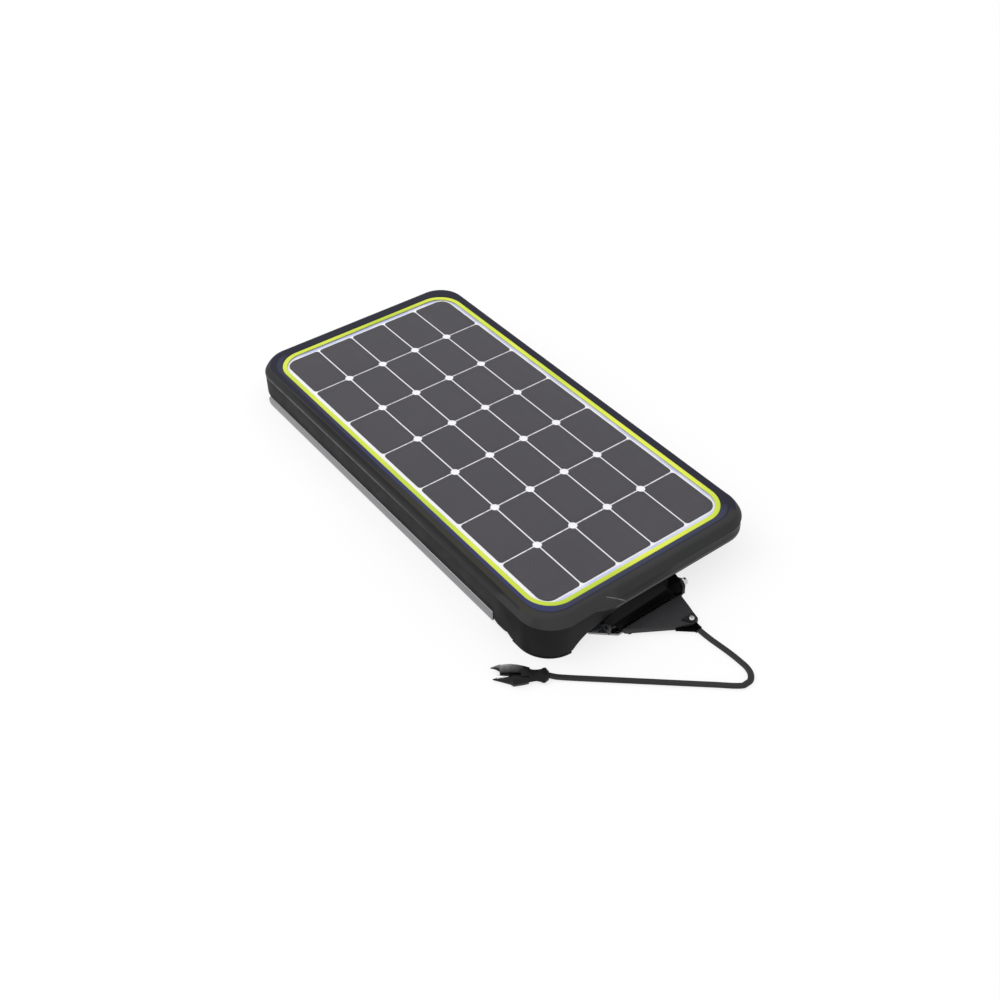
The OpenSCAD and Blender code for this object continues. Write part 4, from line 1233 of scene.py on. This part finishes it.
SCREW_NODES = [
    ("tray_screws", "panel", False), ("box_screws", "panel", False), ("bracket_screws", "panel", False),
    ("latch_screw", "panel", False), ("hinge_screws", "panel", True), ("ear_screws", "foot", True),
    ("clamp_screw", "foot", True),
]
for node, body, head_up in SCREW_NODES:
    verts, faces = merge([screw_shape(points, head_up) for points in islands(node)])
    piece(f"{node}_detail", verts, faces, body, "steel", [node], sharp=30)


def disc_feet(node, body, grooves):
    """Rubber feet: turned pads with rounded rims and rings pressed into the sole."""
    parts = []
    for points in islands(node):
        lo, hi = points.min(0) / MM, points.max(0) / MM
        centre = (points.min(0) + points.max(0)) / 2
        r, h = (hi[0] - lo[0]) / 2, hi[2] - lo[2]
        profile = [(0.02, h), (r * 0.94, h), (r, h - 0.3), (r, 0.5), (r * 0.97, 0.15), (r * 0.90, 0)]
        for g in grooves:
            profile += [(r * (g + 0.05), 0), (r * (g + 0.03), 0.35)]
            profile += [(r * (g - 0.03), 0.35), (r * (g - 0.05), 0)]
        profile += [(0.02, 0)]
        parts.append(capped_loft(turned(profile, (centre[0], centre[1], 0), (0, 0, 1))))
    verts, faces = merge(parts)
    piece(f"{node}_detail", verts, faces, body, "foot_rubber", [node], sharp=40)


disc_feet("rubber_feet", "panel", (0.72, 0.45))
disc_feet("foot_pads", "foot", (0.6,))


def make_grips():
    """Ribbed rubber sleeves on the stand's cross bar."""
    parts = []
    for points in islands("stand_grips"):
        lo, hi = points.min(0), points.max(0)
        length = (hi[0] - lo[0]) / MM
        r = (hi[2] - lo[2]) / MM / 2
        centre = (lo[0], (lo[1] + hi[1]) / 2, (lo[2] + hi[2]) / 2)
        profile = [(4.52, 0), (r - 0.5, 0), (r, 0.6)]
        ribs = 14
        pitch = (length - 4) / ribs
        for k in range(ribs):
            x0 = 2 + k * pitch
            profile += [(r, x0), (r - 0.45, x0 + pitch * 0.2), (r - 0.45, x0 + pitch * 0.4),
                        (r, x0 + pitch * 0.6)]
        profile += [(r, length - 0.6), (r - 0.5, length), (4.52, length)]
        parts.append(closed_turning(profile, centre, (1, 0, 0)))
    verts, faces = merge(parts)
    piece("grip_sleeves", verts, faces, "stand", "black_rubber",
          ["stand_grips"], sharp=50)


make_grips()

# ---- the CAD nodes that show as they are ----

BEVELS = {
    "base_plate": 0.5, "hinge_ear_right": 0.5,
    "cord_clamp": 0.3, "junction_box": 0.8, "box_lid": 0.7, "rear_tray": 0.6, "stand_brackets": 0.5,
    "latch_button": 0.5, "corner_sole": 0.4, "rail_caps": 0.3, "dome_nut": 0.4,
    "stand_pins": 0.3, "stand_crossbar": 0.3, "terminal_block": 0.3, "plug_contacts": 0.4,
}
slots = {row["node"]: row["material_slot"] for row in frame["record"]["subparts"]}
for node in NODES:
    dress(node, MATERIALS[slots[node]], BEVELS.get(node, 0.0))

# ---- floor and light ----

FLOOR_HALF = 6.0
FLOOR_GLOW = 0.75
WORLD_GLOW = 0.95
KEY_POWER = 26


def make_floor():
    """Plain pale floor."""
    verts = [(x * FLOOR_HALF, y * FLOOR_HALF, 0) for x, y in ((-1, -1), (1, -1), (1, 1), (-1, 1))]
    mesh = bpy.data.meshes.new("floor")
    mesh.from_pydata(verts, [], [(0, 1, 2, 3)])
    g = Graph("floor")
    g.link(g.ramp(g.noise(2, 2), [(0.3, (0.22,) * 3), (0.7, (0.23,) * 3)]), g.shader.inputs["Base Color"])
    g.shader.inputs["Emission Color"].default_value = (1, 1, 1, 1)
    g.shader.inputs["Emission Strength"].default_value = FLOOR_GLOW
    g.set(roughness=0.9, specular=0.1)
    mesh.materials.append(g.material)
    floor = bpy.data.objects.new("floor", mesh)
    bpy.context.collection.objects.link(floor)


def add_area(name, place, target, size, power):
    data = bpy.data.lights.new(name, "AREA")
    data.shape = "DISK"
    data.size = size
    data.energy = power
    light = bpy.data.objects.new(name, data)
    light.location = place
    light.rotation_mode = "QUATERNION"
    light.rotation_quaternion = (Vector(target) - Vector(place)).to_track_quat("-Z", "Y")
    bpy.context.collection.objects.link(light)


def add_world(strength):
    world = bpy.data.worlds.new("studio")
    world.use_nodes = True
    background = world.node_tree.nodes["Background"]
    background.inputs["Color"].default_value = (1, 1, 1, 1)
    background.inputs["Strength"].default_value = strength
    bpy.context.scene.world = world


make_floor()
add_world(WORLD_GLOW)
add_area("key", (-1.2, 1.4, 2.4), (0, 0, 0), 2.4, KEY_POWER)
bpy.context.scene.view_settings.view_transform = "Standard"
